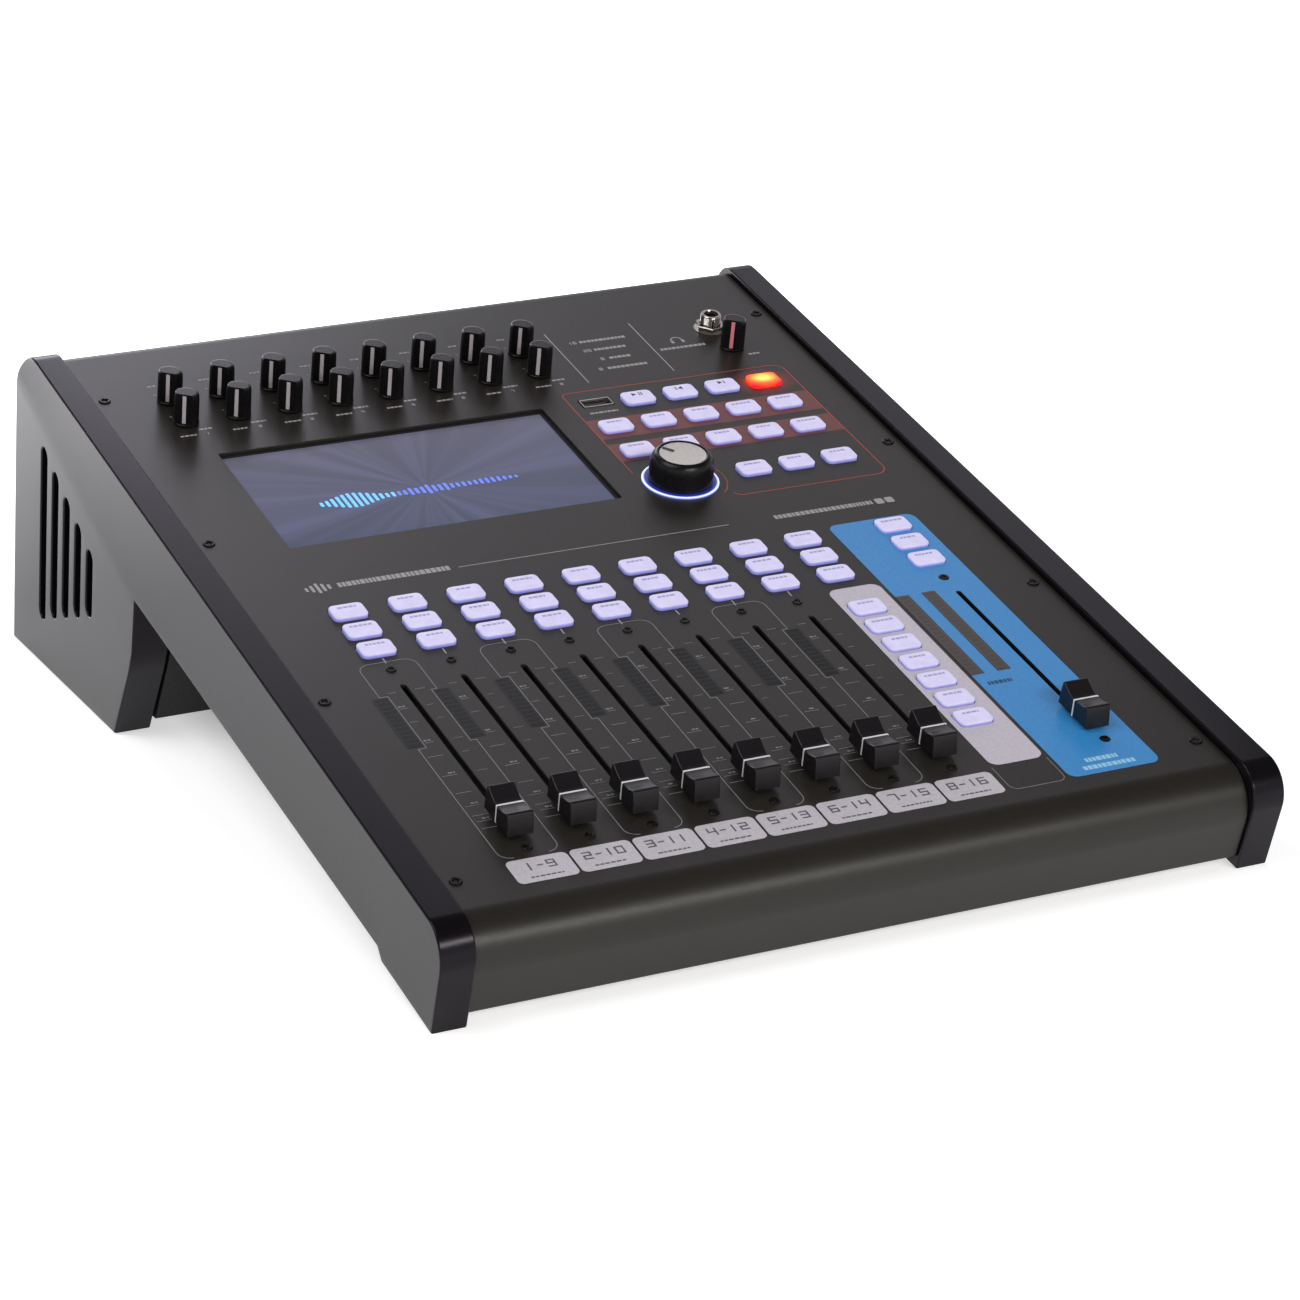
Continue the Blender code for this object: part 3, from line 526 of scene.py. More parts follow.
def screen_glass():
    """Lit start-up picture: slate blue with faint rays from below the middle of the screen."""
    paint = Paint("display_picture", Emission_Strength=0.95, Roughness=0.14,
                  Specular_IOR_Level=0.1)
    x0, x1, s0, s1 = SCREEN
    right = paint.math("SUBTRACT", paint.coordinate("X"), (x0 + x1) / 2)
    up = paint.math("SUBTRACT", paint.coordinate("Y"), s0 + 0.42 * (s1 - s0))
    rays = paint.node("ShaderNodeTexNoise", noise_dimensions="1D")
    rays.inputs["Scale"].default_value = 3.2
    rays.inputs["Detail"].default_value = 2.0
    paint.link(paint.math("ARCTAN2", up, right), rays.inputs["W"])
    ground = paint.ramp(paint.along("Y", s0, s1), (0.0, srgb(58, 62, 80)),
                        (0.6, srgb(66, 67, 84)), (1.0, srgb(72, 71, 84)))
    beams = paint.ramp(rays.outputs["Fac"], (0.4, [0.0] * 3), (0.66, srgb(50, 52, 72)))
    return paint.glowing(paint.mix("ADD", 0.45, ground, beams)).material


CHARCOAL = srgb(33, 30, 26)
M = {
    "panel": panel_coat(),
    "cheek": coated("cheek_satin", srgb(12, 10, 13), 0.2, 0.26, 2200, 0.0000015, 0.06,
                    IOR=1.32, Specular_IOR_Level=0.4, Specular_Tint=(0.93, 0.85, 1.0)),
    "tray": coated("tray_black_coat", srgb(11, 11, 11), 0.5, 0.62, 2400, 0.000012,
                   Specular_IOR_Level=0.25),
    "rear": coated("rear_powder_coat", srgb(42, 41, 40), 0.4, 0.5, 3400, 0.00001),
    "rubber": coated("foot_rubber", srgb(24, 24, 24), 0.75, 0.9, 1200, 0.00003),
    "knob": coated("knob_plastic", srgb(13, 11, 13), 0.26, 0.36, 1800, 0.000006,
                   Specular_IOR_Level=0.24),
    "fader": coated("fader_plastic", srgb(20, 17, 20), 0.28, 0.38, 1600, 0.000006,
                    Specular_IOR_Level=0.36),
    "black": coated("connector_plastic", srgb(22, 22, 23), 0.38, 0.5, 1500, 0.000008),
    "meter": printed("meter_window", srgb(26, 25, 25), 0.44, Specular_IOR_Level=0.28),
    "segment": printed("meter_segment", srgb(19, 18, 18), 0.48, Specular_IOR_Level=0.2),
    "key": lit("key_silicone", srgb(214, 209, 244), srgb(138, 142, 226), 0.49, 0.0002, 0.0013,
               0.42, 0.62),
    "web": lit("key_under_glow", srgb(30, 34, 150), srgb(14, 16, 70), 0.4, -0.003, -0.0018),
    "record": record_silicone(),
    "record_web": lit("record_under_glow", srgb(255, 24, 16), srgb(160, 8, 8), 1.4,
                      -0.003, -0.0018),
    "record_legend": printed("record_legend", srgb(255, 196, 96), 0.5,
                             Emission_Color=srgb(255, 170, 60), Emission_Strength=1.0),
    "disc": printed("encoder_disc", srgb(199, 193, 190), 0.34, Metallic=0.25),
    "ring": ring_light(),
    "chrome": metal("chrome", srgb(164, 158, 152), 0.08, 0.16, 500),
    "zinc": metal("zinc_plate", srgb(178, 176, 174), 0.28, 0.42, 900),
    "aluminium": metal("sheet_aluminium", srgb(168, 169, 171), 0.32, 0.46, 400, (1, 12, 1)),
    "gold": metal("contact_gold", srgb(208, 172, 96), 0.18, 0.28, 900),
    "screw": metal("black_screw", srgb(44, 42, 42), 0.28, 0.42, 1500),
    "board": coated("solder_mask", srgb(20, 78, 44), 0.3, 0.45, 900, 0.00002),
    "gasket": coated("display_gasket", srgb(15, 15, 16), 0.55, 0.7, 2400, 0.00002),
    "screen": screen_glass(),
    "glyph": printed("display_glyph", srgb(96, 178, 232), 0.3, Emission_Color=srgb(84, 160, 235),
                     Emission_Strength=0.9),
    "glyph_deep": printed("display_glyph_deep", srgb(80, 104, 205), 0.3,
                          Emission_Color=srgb(80, 104, 205), Emission_Strength=0.9),
}
for key, name, rough, colour in (
        ("grey_line", "pointer_line", 0.35, (174, 166, 170)),
        ("pink_line", "phones_pointer", 0.35, (205, 120, 130)),
        ("white_line", "fader_index_line", 0.35, (222, 220, 224)),
        ("ink", "panel_print_grey", 0.5, (158, 155, 157)),
        ("faint", "panel_print_faint", 0.5, (122, 120, 122)),
        ("tag", "tag_grey", 0.42, (190, 185, 193)),
        ("tag_ink", "tag_ink", 0.5, (84, 82, 94)),
        ("strip", "strip_white", 0.36, (194, 188, 199)),
        ("blue", "plate_blue", 0.36, (52, 136, 202)),
        ("blue_ink", "plate_ink_dark", 0.5, (24, 60, 96)),
        ("pale_ink", "plate_ink_pale", 0.5, (150, 205, 235)),
        ("red_ink", "panel_print_red", 0.5, (158, 62, 54)),
        ("red_band", "panel_band_red", 0.4, (104, 46, 40)),
        ("meter_brown", "master_meter_window", 0.36, (62, 54, 51)),
        ("segment_brown", "master_meter_segment", 0.34, (50, 44, 42)),
        ("legend", "key_legend", 0.5, (168, 162, 204)),
        ("transport_legend", "transport_legend", 0.5, (44, 40, 64))):
    M[key] = printed(name, srgb(*colour), rough)

# ---- pieces

MERGE, SHARP_ANGLE = 1e-7, math.radians(32)
looks = bpy.data.collections.new("looks")
bpy.context.scene.collection.children.link(looks)


def piece(name, shape, materials, body="root", at=(0, 0, 0), replaces=(), mesh=None,
          level=False):
    """A closed mesh that rides on a CAD body. Its object has the panel's axes, or the frame's own
    if level."""
    if mesh is None:
        if level:
            shape = shape.moved(PANEL)
        mesh = bpy.data.meshes.new(name)
        mesh.from_pydata(shape.points, [], shape.faces)
        mesh.polygons.foreach_set("material_index", shape.finishes)
        work = bmesh.new()
        work.from_mesh(mesh)
        bmesh.ops.remove_doubles(work, verts=work.verts, dist=MERGE)
        bmesh.ops.dissolve_degenerate(work, edges=work.edges, dist=MERGE)
        bmesh.ops.recalc_face_normals(work, faces=work.faces)
        work.to_mesh(mesh)
        work.free()
        for key in materials if isinstance(materials, (list, tuple)) else [materials]:
            mesh.materials.append(M[key])
        mesh.shade_smooth()
        mesh.set_sharp_from_angle(angle=SHARP_ANGLE)
    thing = bpy.data.objects.new(name, mesh)
    looks.objects.link(thing)
    if not level:
        thing.matrix_world = PANEL @ Matrix.Translation(at)
    even = thing.modifiers.new("even_normals", "WEIGHTED_NORMAL")
    even.keep_sharp = True
    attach(thing, body)
    if replaces:
        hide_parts(*replaces)
    return thing


def carried(node, key):
    """A CAD node that is shown as it is, with its own material."""
    thing = frame["nodes"][node]
    thing.data.materials.clear()
    thing.data.materials.append(M[key])


# ---- casing

def panel_path():
    """The panel's outer skin seen from the side, from the front lip to the rear lip."""
    nose = arc((NOSE_S, -NOSE_RADIUS), NOSE_RADIUS, 180 + FASCIA_LEAN, 90, 24)
    fascia = nose[0][0] + (nose[0][1] - FASCIA_BOTTOM) * math.tan(math.radians(FASCIA_LEAN))
    rear = arc((PANEL_REAR - PANEL_REAR_RADIUS, -PANEL_REAR_RADIUS), PANEL_REAR_RADIUS, 90, 0, 14)
    lip = arc((fascia + 0.0012, FASCIA_BOTTOM + 0.0012), 0.0012, 270, 187, 4)
    return [(FASCIA_LIP_END, FASCIA_BOTTOM)] + lip + nose + rear + [(PANEL_REAR, PANEL_REAR_LIP)]


def slot_outline(x):
    return rounded(x - SLOT_HALF, x + SLOT_HALF, SLOT_FRONT, SLOT_REAR, SLOT_HALF * 0.96, 4)


def panel_holes():
    holes = [key_outline(place, KEY_GAP) for places in KEYPADS.values() for place in places]
    holes += [slot_outline(x) for x in FADER_XS]
    holes += [circle(place, 0.0035, 16) for place in KNOBS + [PHONES_KNOB, ENCODER]]
    holes.append(circle(PHONES_JACK, 0.0052, 24))
    (x, s), gap = USB, 0.0003
    holes.append(rounded(x - USB_HALF - gap, x + USB_HALF + gap,
                         s - USB_LENGTH - gap, s + USB_LENGTH + gap, 0.0006, 3))
    holes.append(rounded(*SCREEN, 0.0008, 4))
    return [hole(outline) for outline in holes]


def top_panel():
    """Folded sheet whose flat face is a plate with holes and whose two folds run across it."""
    path = panel_path()
    under = offset_path(path, -PANEL_T)
    flat = [i for i, (s, n) in enumerate(path) if abs(n) < 1e-9]
    front, rear, count = flat[0], flat[-1], len(path)
    points = [(x, s, n) for x in (-PANEL_HALF, PANEL_HALF) for s, n in path + under]
    faces, left, right = [], 0, 2 * count
    for i in range(count - 1):
        if i != front:
            low = count + i
            faces.append((left + i, right + i, right + i + 1, left + i + 1))
            faces.append((left + low, left + low + 1, right + low + 1, right + low))
        for side in (left, right):
            faces.append((side + i, side + i + 1, side + count + i + 1, side + count + i))
    for end in (0, count - 1):
        faces.append((left + end, left + count + end, right + count + end, right + end))
    # the flat face is open round its outside, where the folds meet it
    outlines = [rectangle(-PANEL_HALF, PANEL_HALF, skin_path[front][0], skin_path[rear][0])
                for skin_path in (under, path)]
    sections = [(-PANEL_T, 0), (-HOLE_EDGE, 0), (0.0, HOLE_EDGE)]
    return Shape().add(points, faces).join(plate_face(outlines, panel_holes(), sections))


def plate_face(outlines, holes, sections):
    """The two faces of a sheet with holes and the walls of the holes, without its outer wall."""
    points, faces, rings = walls(holes, sections)
    for outline, level, (height, _) in ((outlines[0], rings[0], sections[0]),
                                        (outlines[1], rings[-1], sections[-1])):
        start = len(points)
        points += [(x, y, height) for x, y in outline]
        whole = [(start, len(outline))] + level
        flat = [[Vector(points[first + i]) for i in range(count)] for first, count in whole]
        index = [first + i for first, count in whole for i in range(count)]
        faces += [tuple(index[i] for i in triangle) for triangle in tessellate_polygon(flat)]
    return Shape().add(points, faces)


def cheek_outline():
    nose = arc((CHEEK_NOSE_S, CHEEK_TOP - CHEEK_NOSE_RADIUS), CHEEK_NOSE_RADIUS, 187.5, 90, 20)
    centre = (CHEEK_REAR - CHEEK_REAR_RADIUS, CHEEK_TOP - CHEEK_REAR_RADIUS)
    rear = arc(centre, CHEEK_REAR_RADIUS, 90, 0, 18)
    leg = [(s, ground_n(s) if n is None else n) for s, n in LEG_FRONT]
    outline = nose + rear + [(CHEEK_REAR, ground_n(CHEEK_REAR))] + leg + FOOT
    return outline[::-1]


def vent_outlines():
    loops = []
    for i in range(VENTS):
        share = i / (VENTS - 1)
        s = VENT_FIRST - i * VENT_PITCH
        top = VENT_TOPS[0] + share * (VENT_TOPS[1] - VENT_TOPS[0])
        bottom = VENT_BOTTOMS[0] + share * (VENT_BOTTOMS[1] - VENT_BOTTOMS[0])
        radius = VENT_WIDTH / 2
        loops.append(arc((s, top), radius, 0, 180, 10) + arc((s, bottom), radius, 180, 360, 10))
    return loops


def side_offset(s, n):
    """How far a cheek's outer face stands out at a place: the leg flares below a soft crease that
    runs to the rear, and the top edge leans in towards the rear."""
    def share(value, start, end):
        return min(max((value - start) / (end - start), 0.0), 1.0)

    low = LEG_FLARE * share(s, FOOT[0][0], CREASE_START)
    top = -TOP_LEAN * share(s, CHEEK_NOSE_S, CHEEK_REAR)
    crease = CHEEK_UNDER + max(s - CREASE_START, 0.0) * CREASE_RISE
    above = n - crease
    if abs(above) < CREASE_SOFT:
        above = (above + CREASE_SOFT) ** 2 / (4 * CREASE_SOFT)
    return low + (top - low) * share(above, 0.0, CHEEK_TOP - crease)


def bent(shape, side):
    """The cheek with its outer face moved by side_offset, cut finely enough to bend."""
    work = bmesh.new()
    corners = [work.verts.new(point) for point in shape.points]
    for face in shape.faces:
        work.faces.new([corners[i] for i in face])
    cuts = [((0, BEND_FIRST + BEND_PITCH * k, 0), (0, 1, 0)) for k in range(BEND_CUTS)]
    for share in (-1, -0.5, 0, 0.5, 1):
        cuts.append(((0, CREASE_START, CHEEK_UNDER + CREASE_SOFT * share), (0, -CREASE_RISE, 1)))
    for place, normal in cuts:
        geometry = list(work.verts) + list(work.edges) + list(work.faces)
        bmesh.ops.bisect_plane(work, geom=geometry, plane_co=place, plane_no=normal, dist=MERGE)
    bmesh.ops.triangulate(work, faces=list(work.faces))
    work.verts.index_update()
    points = []
    for vertex in work.verts:
        x, s, n = vertex.co
        if abs(x) > (CHEEK_INNER + CHEEK_OUTER) / 2:
            x += side * side_offset(s, n)
        points.append((x, s, n))
    made = Shape().add(points, [[corner.index for corner in face.verts] for face in work.faces])
    work.free()
    return made


def cheeks():
    loops = [cheek_outline()] + [hole(outline) for outline in vent_outlines()]
    for name, low, high in (("left_cheek", -CHEEK_OUTER, -CHEEK_INNER),
                            ("right_cheek", CHEEK_INNER, CHEEK_OUTER)):
        flat = plate(loops, round_edges(low, high, CHEEK_EDGE), axis=TO_X)
        piece(name + "_moulding", bent(flat, 1 if high > 0 else -1), "cheek",
              replaces=[name], level=True)


def screw_shape(radius, driver):
    """A pan head with a cross recess and a floor under it."""
    w, length = driver * 0.32, driver
    cross = [(w, -length), (w, -w), (length, -w), (length, w), (w, w), (w, length), (-w, length),
             (-w, w), (-length, w), (-length, -w), (-w, -w), (-w, -length)]
    head = plate([circle((0, 0), radius, 24), hole(cross)],
                 [(-0.0004, 0), (0.0002, 0), (0.00042, 0.0001), (0.00055, 0.0003)])
    return head.join(slab([circle((0, 0), radius * 0.8, 16)], -0.0008, -0.00042))


def screws():
    shape = Shape()
    random.seed(4)
    for x, s in PANEL_SCREWS:
        shape.join(screw_shape(*LARGE_SCREW).at(x, s, 0, random.uniform(0, 1.5)))
    for x in FADER_XS:
        for s in FADER_SCREWS:
            shape.join(screw_shape(*SMALL_SCREW).at(x, s, 0, random.uniform(0, 1.5)))
    piece("panel_screws", shape, "screw")


# ---- printing

SEGMENT_LINES = {
    "a": ((0, 2), (1, 2)), "b": ((1, 2), (1, 1)), "c": ((1, 1), (1, 0)), "d": ((0, 0), (1, 0)),
    "e": ((0, 1), (0, 0)), "f": ((0, 2), (0, 1)), "g": ((0, 1), (1, 1)),
}
DIGITS = {"0": "abcdef", "1": "bc", "2": "abged", "3": "abgcd", "4": "fgbc", "5": "afgcd",
          "6": "afgedc", "7": "abc", "8": "abcdefg", "9": "abfgcd", "-": "g"}


def number(text, centre, width, height, weight, low=PRINT_LOW, high=PRINT_HIGH, gap=1.7):
    """Squared digits, each made of a few strokes."""
    shape = Shape()
    step = width * gap
    start = centre[0] - (step * (len(text) - 1) + width) / 2
    for i, character in enumerate(text):
        x = start + i * step
        reach = weight / 2
        for name in DIGITS[character]:
            (ax, ay), (bx, by) = SEGMENT_LINES[name]
            if character == "-":
                ax, bx = 0.2, 0.8
            if character == "1":
                ax = bx = 0.5
            x0, x1 = x + min(ax, bx) * width - reach, x + max(ax, bx) * width + reach
            y0 = centre[1] + (min(ay, by) - 1) * height / 2 - reach
            y1 = centre[1] + (max(ay, by) - 1) * height / 2 + reach
            lift = 0.000004 * "abcdefg".index(name)
            shape.join(slab([rectangle(x0, x1, y0, y1)], low, high + lift))
    return shape


def bar(x0, x1, s0, s1, low=PRINT_LOW, high=PRINT_HIGH):
    return slab([rectangle(x0, x1, s0, s1)], low, high)


def dashes(x0, x1, s, height, seed, low=PRINT_LOW, high=PRINT_HIGH):
    """A run of short bars that stands for a line of small print."""
    chance = random.Random(seed)
    shape = Shape()
    x = x0
    while x < x1 - 0.0006:
        end = min(x + chance.uniform(0.001, 0.0021), x1)
        shape.join(bar(x, end, s - height / 2, s + height / 2, low, high))
        x = end + 0.00045
    return shape


def fader_outline(x):
    """The printed line round a channel, which steps in beside the meters."""
    left, right, radius = x - 0.0122, x + 0.0117, 0.005
    inner_left, inner_right = x - 0.0088, x + 0.0093
    front, rear, step_front, step_rear = STRIP_FRONT, 0.0322, -0.0305, 0.008
    path = [(left + radius, front)]
    path += arc((left + radius, front + radius), radius, 270, 180, 6)
    path += [(left, step_front), (inner_left, step_front), (inner_left, step_rear),
             (left, step_rear)]
    path += arc((left + radius, rear - radius), radius, 180, 90, 6)
    path += arc((right - radius, rear - radius), radius, 90, 0, 6)
    path += [(right, step_rear), (inner_right, step_rear), (inner_right, step_front),
             (right, step_front)]
    path += arc((right - radius, front + radius), radius, 0, -90, 6)
    return [p for i, p in enumerate(path) if i == 0 or math.dist(p, path[i - 1]) > 1e-6]


def line(path, width):
    return slab([stroke(path, width)], PRINT_LOW, PRINT_HIGH)


STRIP_FRONT = -0.109
OUTLINE_WIDTH = 0.00034
FADER_TICKS = (0.01, -0.002, -0.012, -0.0272, -0.0368, -0.0508, -0.0632, -0.0724, -0.079,
               -0.083, -0.0878)
LONG_TICKS, CLOSE_TICKS = (0, 3, 5), 4


def channel_print():
    grey, faint = Shape(), Shape()
    for i, x in enumerate(COLUMNS):
        if i % 2 == 0:
            faint.join(line(fader_outline(x), OUTLINE_WIDTH))
        grey.join(bar(x - 0.0003, x + 0.0003, 0.0312, 0.035))
        for k, s in enumerate(FADER_TICKS):
            start = 0.0108 if k >= CLOSE_TICKS else 0.008
            end = 0.0074 if k in LONG_TICKS else 0.006
            faint.join(bar(x - start, x - 0.0046, s - 0.00014, s + 0.00014))
            faint.join(bar(x + 0.0032, x + end, s - 0.00012, s + 0.00012))
            if k % 2:
                faint.join(dashes(x - 0.008, x - 0.0052, s + 0.0016, 0.0009, i * 20 + k))
    piece("channel_print", grey, "ink")
    piece("channel_outlines", faint, "faint")


def tags():
    """The channels' plates, each with its two channel numbers over a line of small print."""
    plates, marks = Shape(), Shape()
    for i, x in enumerate(COLUMNS):
        outline = rounded(x - 0.0122, x + 0.0122, -0.1257, -0.1108, 0.0024)
        plates.join(slab([outline], PRINT_LOW, PLATE_HIGH))
        digits = f"{i + 1}-{i + 9}"
        marks.join(number(digits, (x, -0.1161), 0.0029, 0.004, 0.0007, *ON_PLATE, 1.5))
        marks.join(dashes(x - 0.0064, x + 0.0066, -0.1228, 0.0008, 400 + i, *ON_PLATE))
    piece("channel_tags", plates, "tag")
    piece("channel_numbers", marks, "tag_ink")


WINDOW_LEFT, WINDOW_RIGHT, WINDOW_FRONT, WINDOW_REAR = 0.0159, 0.009, -0.029, 0.0074
WINDOW_SEGMENTS, MASTER_SEGMENTS, MASTER_FIRST, MASTER_PITCH = 12, 20, -0.045, 0.0032


def meters():
    """Dark windows with rows of unlit segments, beside each channel and on the blue plate."""
    windows, segments = Shape(), Shape()
    step = (WINDOW_REAR - WINDOW_FRONT) / WINDOW_SEGMENTS
    for x in COLUMNS:
        left, right = x - WINDOW_LEFT, x - WINDOW_RIGHT
        outline = rounded(left, right, WINDOW_FRONT, WINDOW_REAR, 0.0005, 2)
        windows.join(slab([outline], PRINT_LOW, 0.00008))
        for k in range(WINDOW_SEGMENTS):
            s = WINDOW_FRONT + (k + 0.5) * step
            segments.join(bar(left + 0.0008, right - 0.0008, s - 0.0011, s + 0.0011,
                              0.00006, 0.00011))
    piece("channel_meters", windows, "meter")
    piece("channel_meter_segments", segments, "segment")
    windows, segments = Shape(), Shape()
    for left, right in ((0.0951, 0.1013), (0.1071, 0.1134)):
        windows.join(bar(left, right, -0.0465, 0.0176, 0.0001, 0.00018))
        for k in range(MASTER_SEGMENTS):
            s = MASTER_FIRST + k * MASTER_PITCH
            segments.join(bar(left + 0.0016, right - 0.0016, s - 0.0009, s + 0.0009,
                              0.00015, 0.00021))
    piece("master_meters", windows, "meter_brown")
    piece("master_meter_segments", segments, "segment_brown")


def plates():
    """The pale strip and the blue plate, with the openings that pass through them."""
    bank = [hole(key_outline(place, KEY_GAP)) for place in KEYPADS["keys_bank"]]
    strip = plate([rounded(0.0698, 0.0934, -0.1081, 0.0303, 0.0042)] + bank,
                  [(PRINT_LOW, 0), (PLATE_HIGH, 0)])
    piece("bank_strip", strip, "strip")
    openings = [hole(key_outline((MASTER_X, s), KEY_GAP)) for s in KEY_ROWS]
    openings.append(hole(slot_outline(MASTER_X)))
    openings += [hole(circle((MASTER_X, s), FADER_SCREW_HOLE, 20)) for s in FADER_SCREWS]
    blue = plate([rounded(0.0952, 0.136, -0.125, 0.0788, 0.0042)] + openings,
                 [(PRINT_LOW, 0), (PLATE_HIGH, 0)])
    piece("master_plate", blue, "blue")
    piece("master_plate_print", dashes(0.0986, 0.1095, -0.0539, 0.0024, 31, *ON_PLATE), "blue_ink")
    pale = dashes(0.1069, 0.1211, -0.1158, 0.0026, 32, *ON_PLATE)
    pale.join(dashes(0.1033, 0.1266, -0.1207, 0.0026, 33, *ON_PLATE))
    piece("master_plate_label", pale, "pale_ink")
    radius, corner_s = 0.0035, -0.1218
    edge = [(0.0692, STRIP_FRONT)] + arc((0.0727, corner_s), radius, 180, 270, 5)
    edge += arc((0.09, corner_s), radius, 270, 360, 5) + [(0.0935, STRIP_FRONT)]
    piece("strip_outline", line(edge, OUTLINE_WIDTH), "faint")


DIVIDER_XS, DIVIDER_ENDS, DIVIDER_WIDTH = (0.053, 0.0949), (0.2262, 0.2748), 0.0005
FEATURE_ROWS = ((0.06, 0.0877, 0.2632, "16"), (0.0635, 0.0851, 0.2547, "20"),
                (0.0668, 0.0829, 0.2456, "8"), (0.0619, 0.0863, 0.2366, "8"))
# start, end, place up the slope, height and seed of each run of dashes that stands for a name
NAME_ROWS = ((0.0978, 0.1203, 0.2465, 0.0019, 60), (0.135, 0.1402, 0.2318, 0.0014, 61),
             (0.0412, 0.0546, 0.199, 0.0013, 62), (-0.119, -0.07, 0.0928, 0.0034, 63),
             (0.0774, 0.124, 0.0922, 0.003, 64))
PHONES_SIGN, PHONES_SIGN_RADIUS = (0.1091, 0.2534), 0.0026
MIDDLE_LINE, HEADING_S = [(-0.0667, 0.0922), (0.056, 0.0922)], 0.0928
LEVEL_MARK = (0.003, 0.0052, 0.0078, 0.006, 0.0036)
TICK_TURN, TICK_RADII, TICK_WIDTH = 35, (0.0072, 0.0084), 0.0004


def knob_print(grey):
    """Small print, channel numbers and the two end ticks of each gain knob."""
    for i, (x, s) in enumerate(KNOBS):
        if i < CHANNELS:
            grey.join(dashes(x - 0.0052, x - 0.0006, s + 0.0145, 0.0012, 70 + i))
        else:
            grey.join(dashes(x - 0.0066, x + 0.0008, s - 0.0116, 0.0012, 90 + i))
            grey.join(dashes(x + 0.003, x + 0.0098, s - 0.0076, 0.0012, 120 + i))
            grey.join(number(str(i + 1 - CHANNELS), (x + 0.0058, s - 0.0117), 0.001, 0.0015,
                             0.00035))
        for side in (-1, 1):
            a = math.radians(90 - side * TICK_TURN)
            tick = [(x + r * math.cos(a), s + r * math.sin(a)) for r in TICK_RADII]
            grey.join(line(tick, TICK_WIDTH))


def control_print():
    """Dividers, headings, level mark and headphone sign in grey."""
    grey = Shape()
    for x in DIVIDER_XS:
        grey.join(line([(x, s) for s in DIVIDER_ENDS], DIVIDER_WIDTH))
    for i, (x0, x1, s, digits) in enumerate(FEATURE_ROWS):
        grey.join(number(digits, (x0 + 0.0018, s), 0.0012, 0.002, 0.00042))
        grey.join(dashes(x0 + 0.0052, x1, s, 0.0019, 50 + i))
    for row in NAME_ROWS:
        grey.join(dashes(*row))
    grey.join(line(arc(PHONES_SIGN, PHONES_SIGN_RADIUS, 10, 170, 8), 0.0006))
    for side in (-1, 1):
        x = PHONES_SIGN[0] + side * PHONES_SIGN_RADIUS
        cup = rounded(x - 0.0007, x + 0.0007, 0.2508, PHONES_SIGN[1], 0.0005, 3)
        grey.join(slab([cup], PRINT_LOW, PRINT_HIGH + 0.00001))
    grey.join(line(MIDDLE_LINE, 0.0004))
    for k, height in enumerate(LEVEL_MARK):
        x = -0.133 + k * 0.0024
        post = rounded(x, x + 0.0013, HEADING_S - height / 2, HEADING_S + height / 2, 0.0006, 3)
        grey.join(slab([post], PRINT_LOW, PRINT_HIGH))
    blocks = [rounded(x, x + 0.0038, 0.09, 0.0944, 0.0008, 3) for x in (0.1256, 0.1304)]
    grey.join(slab(blocks, PRINT_LOW, PRINT_HIGH))
    knob_print(grey)
    piece("panel_print", grey, "ink")


MENU_BOX = (0.0359, 0.144, 0.114, 0.219)
MENU_BANDS = ((0.1752, 0.193), (0.155, 0.1705))
MENU_LINE, RING_REACH, RING_LOW = 0.00055, 0.0202, 0.1178


def menu_print():
    """The red outline, which makes way for the encoder, and the two bands behind the menu keys."""
    left, right, bottom, top = MENU_BOX
    cx, cs = ENCODER
    below = RING_LOW - cs
    low = math.degrees(math.atan2(below, math.sqrt(RING_REACH ** 2 - below ** 2)))
    outline = [(left, cs + math.sqrt(RING_REACH ** 2 - (cx - left) ** 2) + 0.0004)]
    for centre, radius, start, end, steps in (
            ((left + 0.003, top - 0.003), 0.003, 180, 90, 5),
            ((right - 0.005, top - 0.005), 0.005, 90, 0, 6),
            ((right - 0.006, bottom + 0.006), 0.006, 0, -90, 6),
            ((cx + 0.0215, bottom + 0.004), 0.004, 270, 200, 5)):
        outline += arc(centre, radius, start, end, steps)
    red = line(outline, MENU_LINE).join(line(arc(ENCODER, RING_REACH, low, 30, 14), MENU_LINE))
    piece("menu_outline", red, "red_ink")
    bands = Shape()
    for s0, s1 in MENU_BANDS:
        openings = [hole(key_outline(place, KEY_GAP)) for place in KEYPADS["keys_menu"]
                    if s0 < place[1] < s1]
        band = rounded(left + 0.0003, right - 0.0003, s0, s1, 0.0006, 2)
        bands.join(plate([band] + openings, [(0.00001, 0), (0.00004, 0)]))
    piece("menu_bands", bands, "red_band")


# ---- display

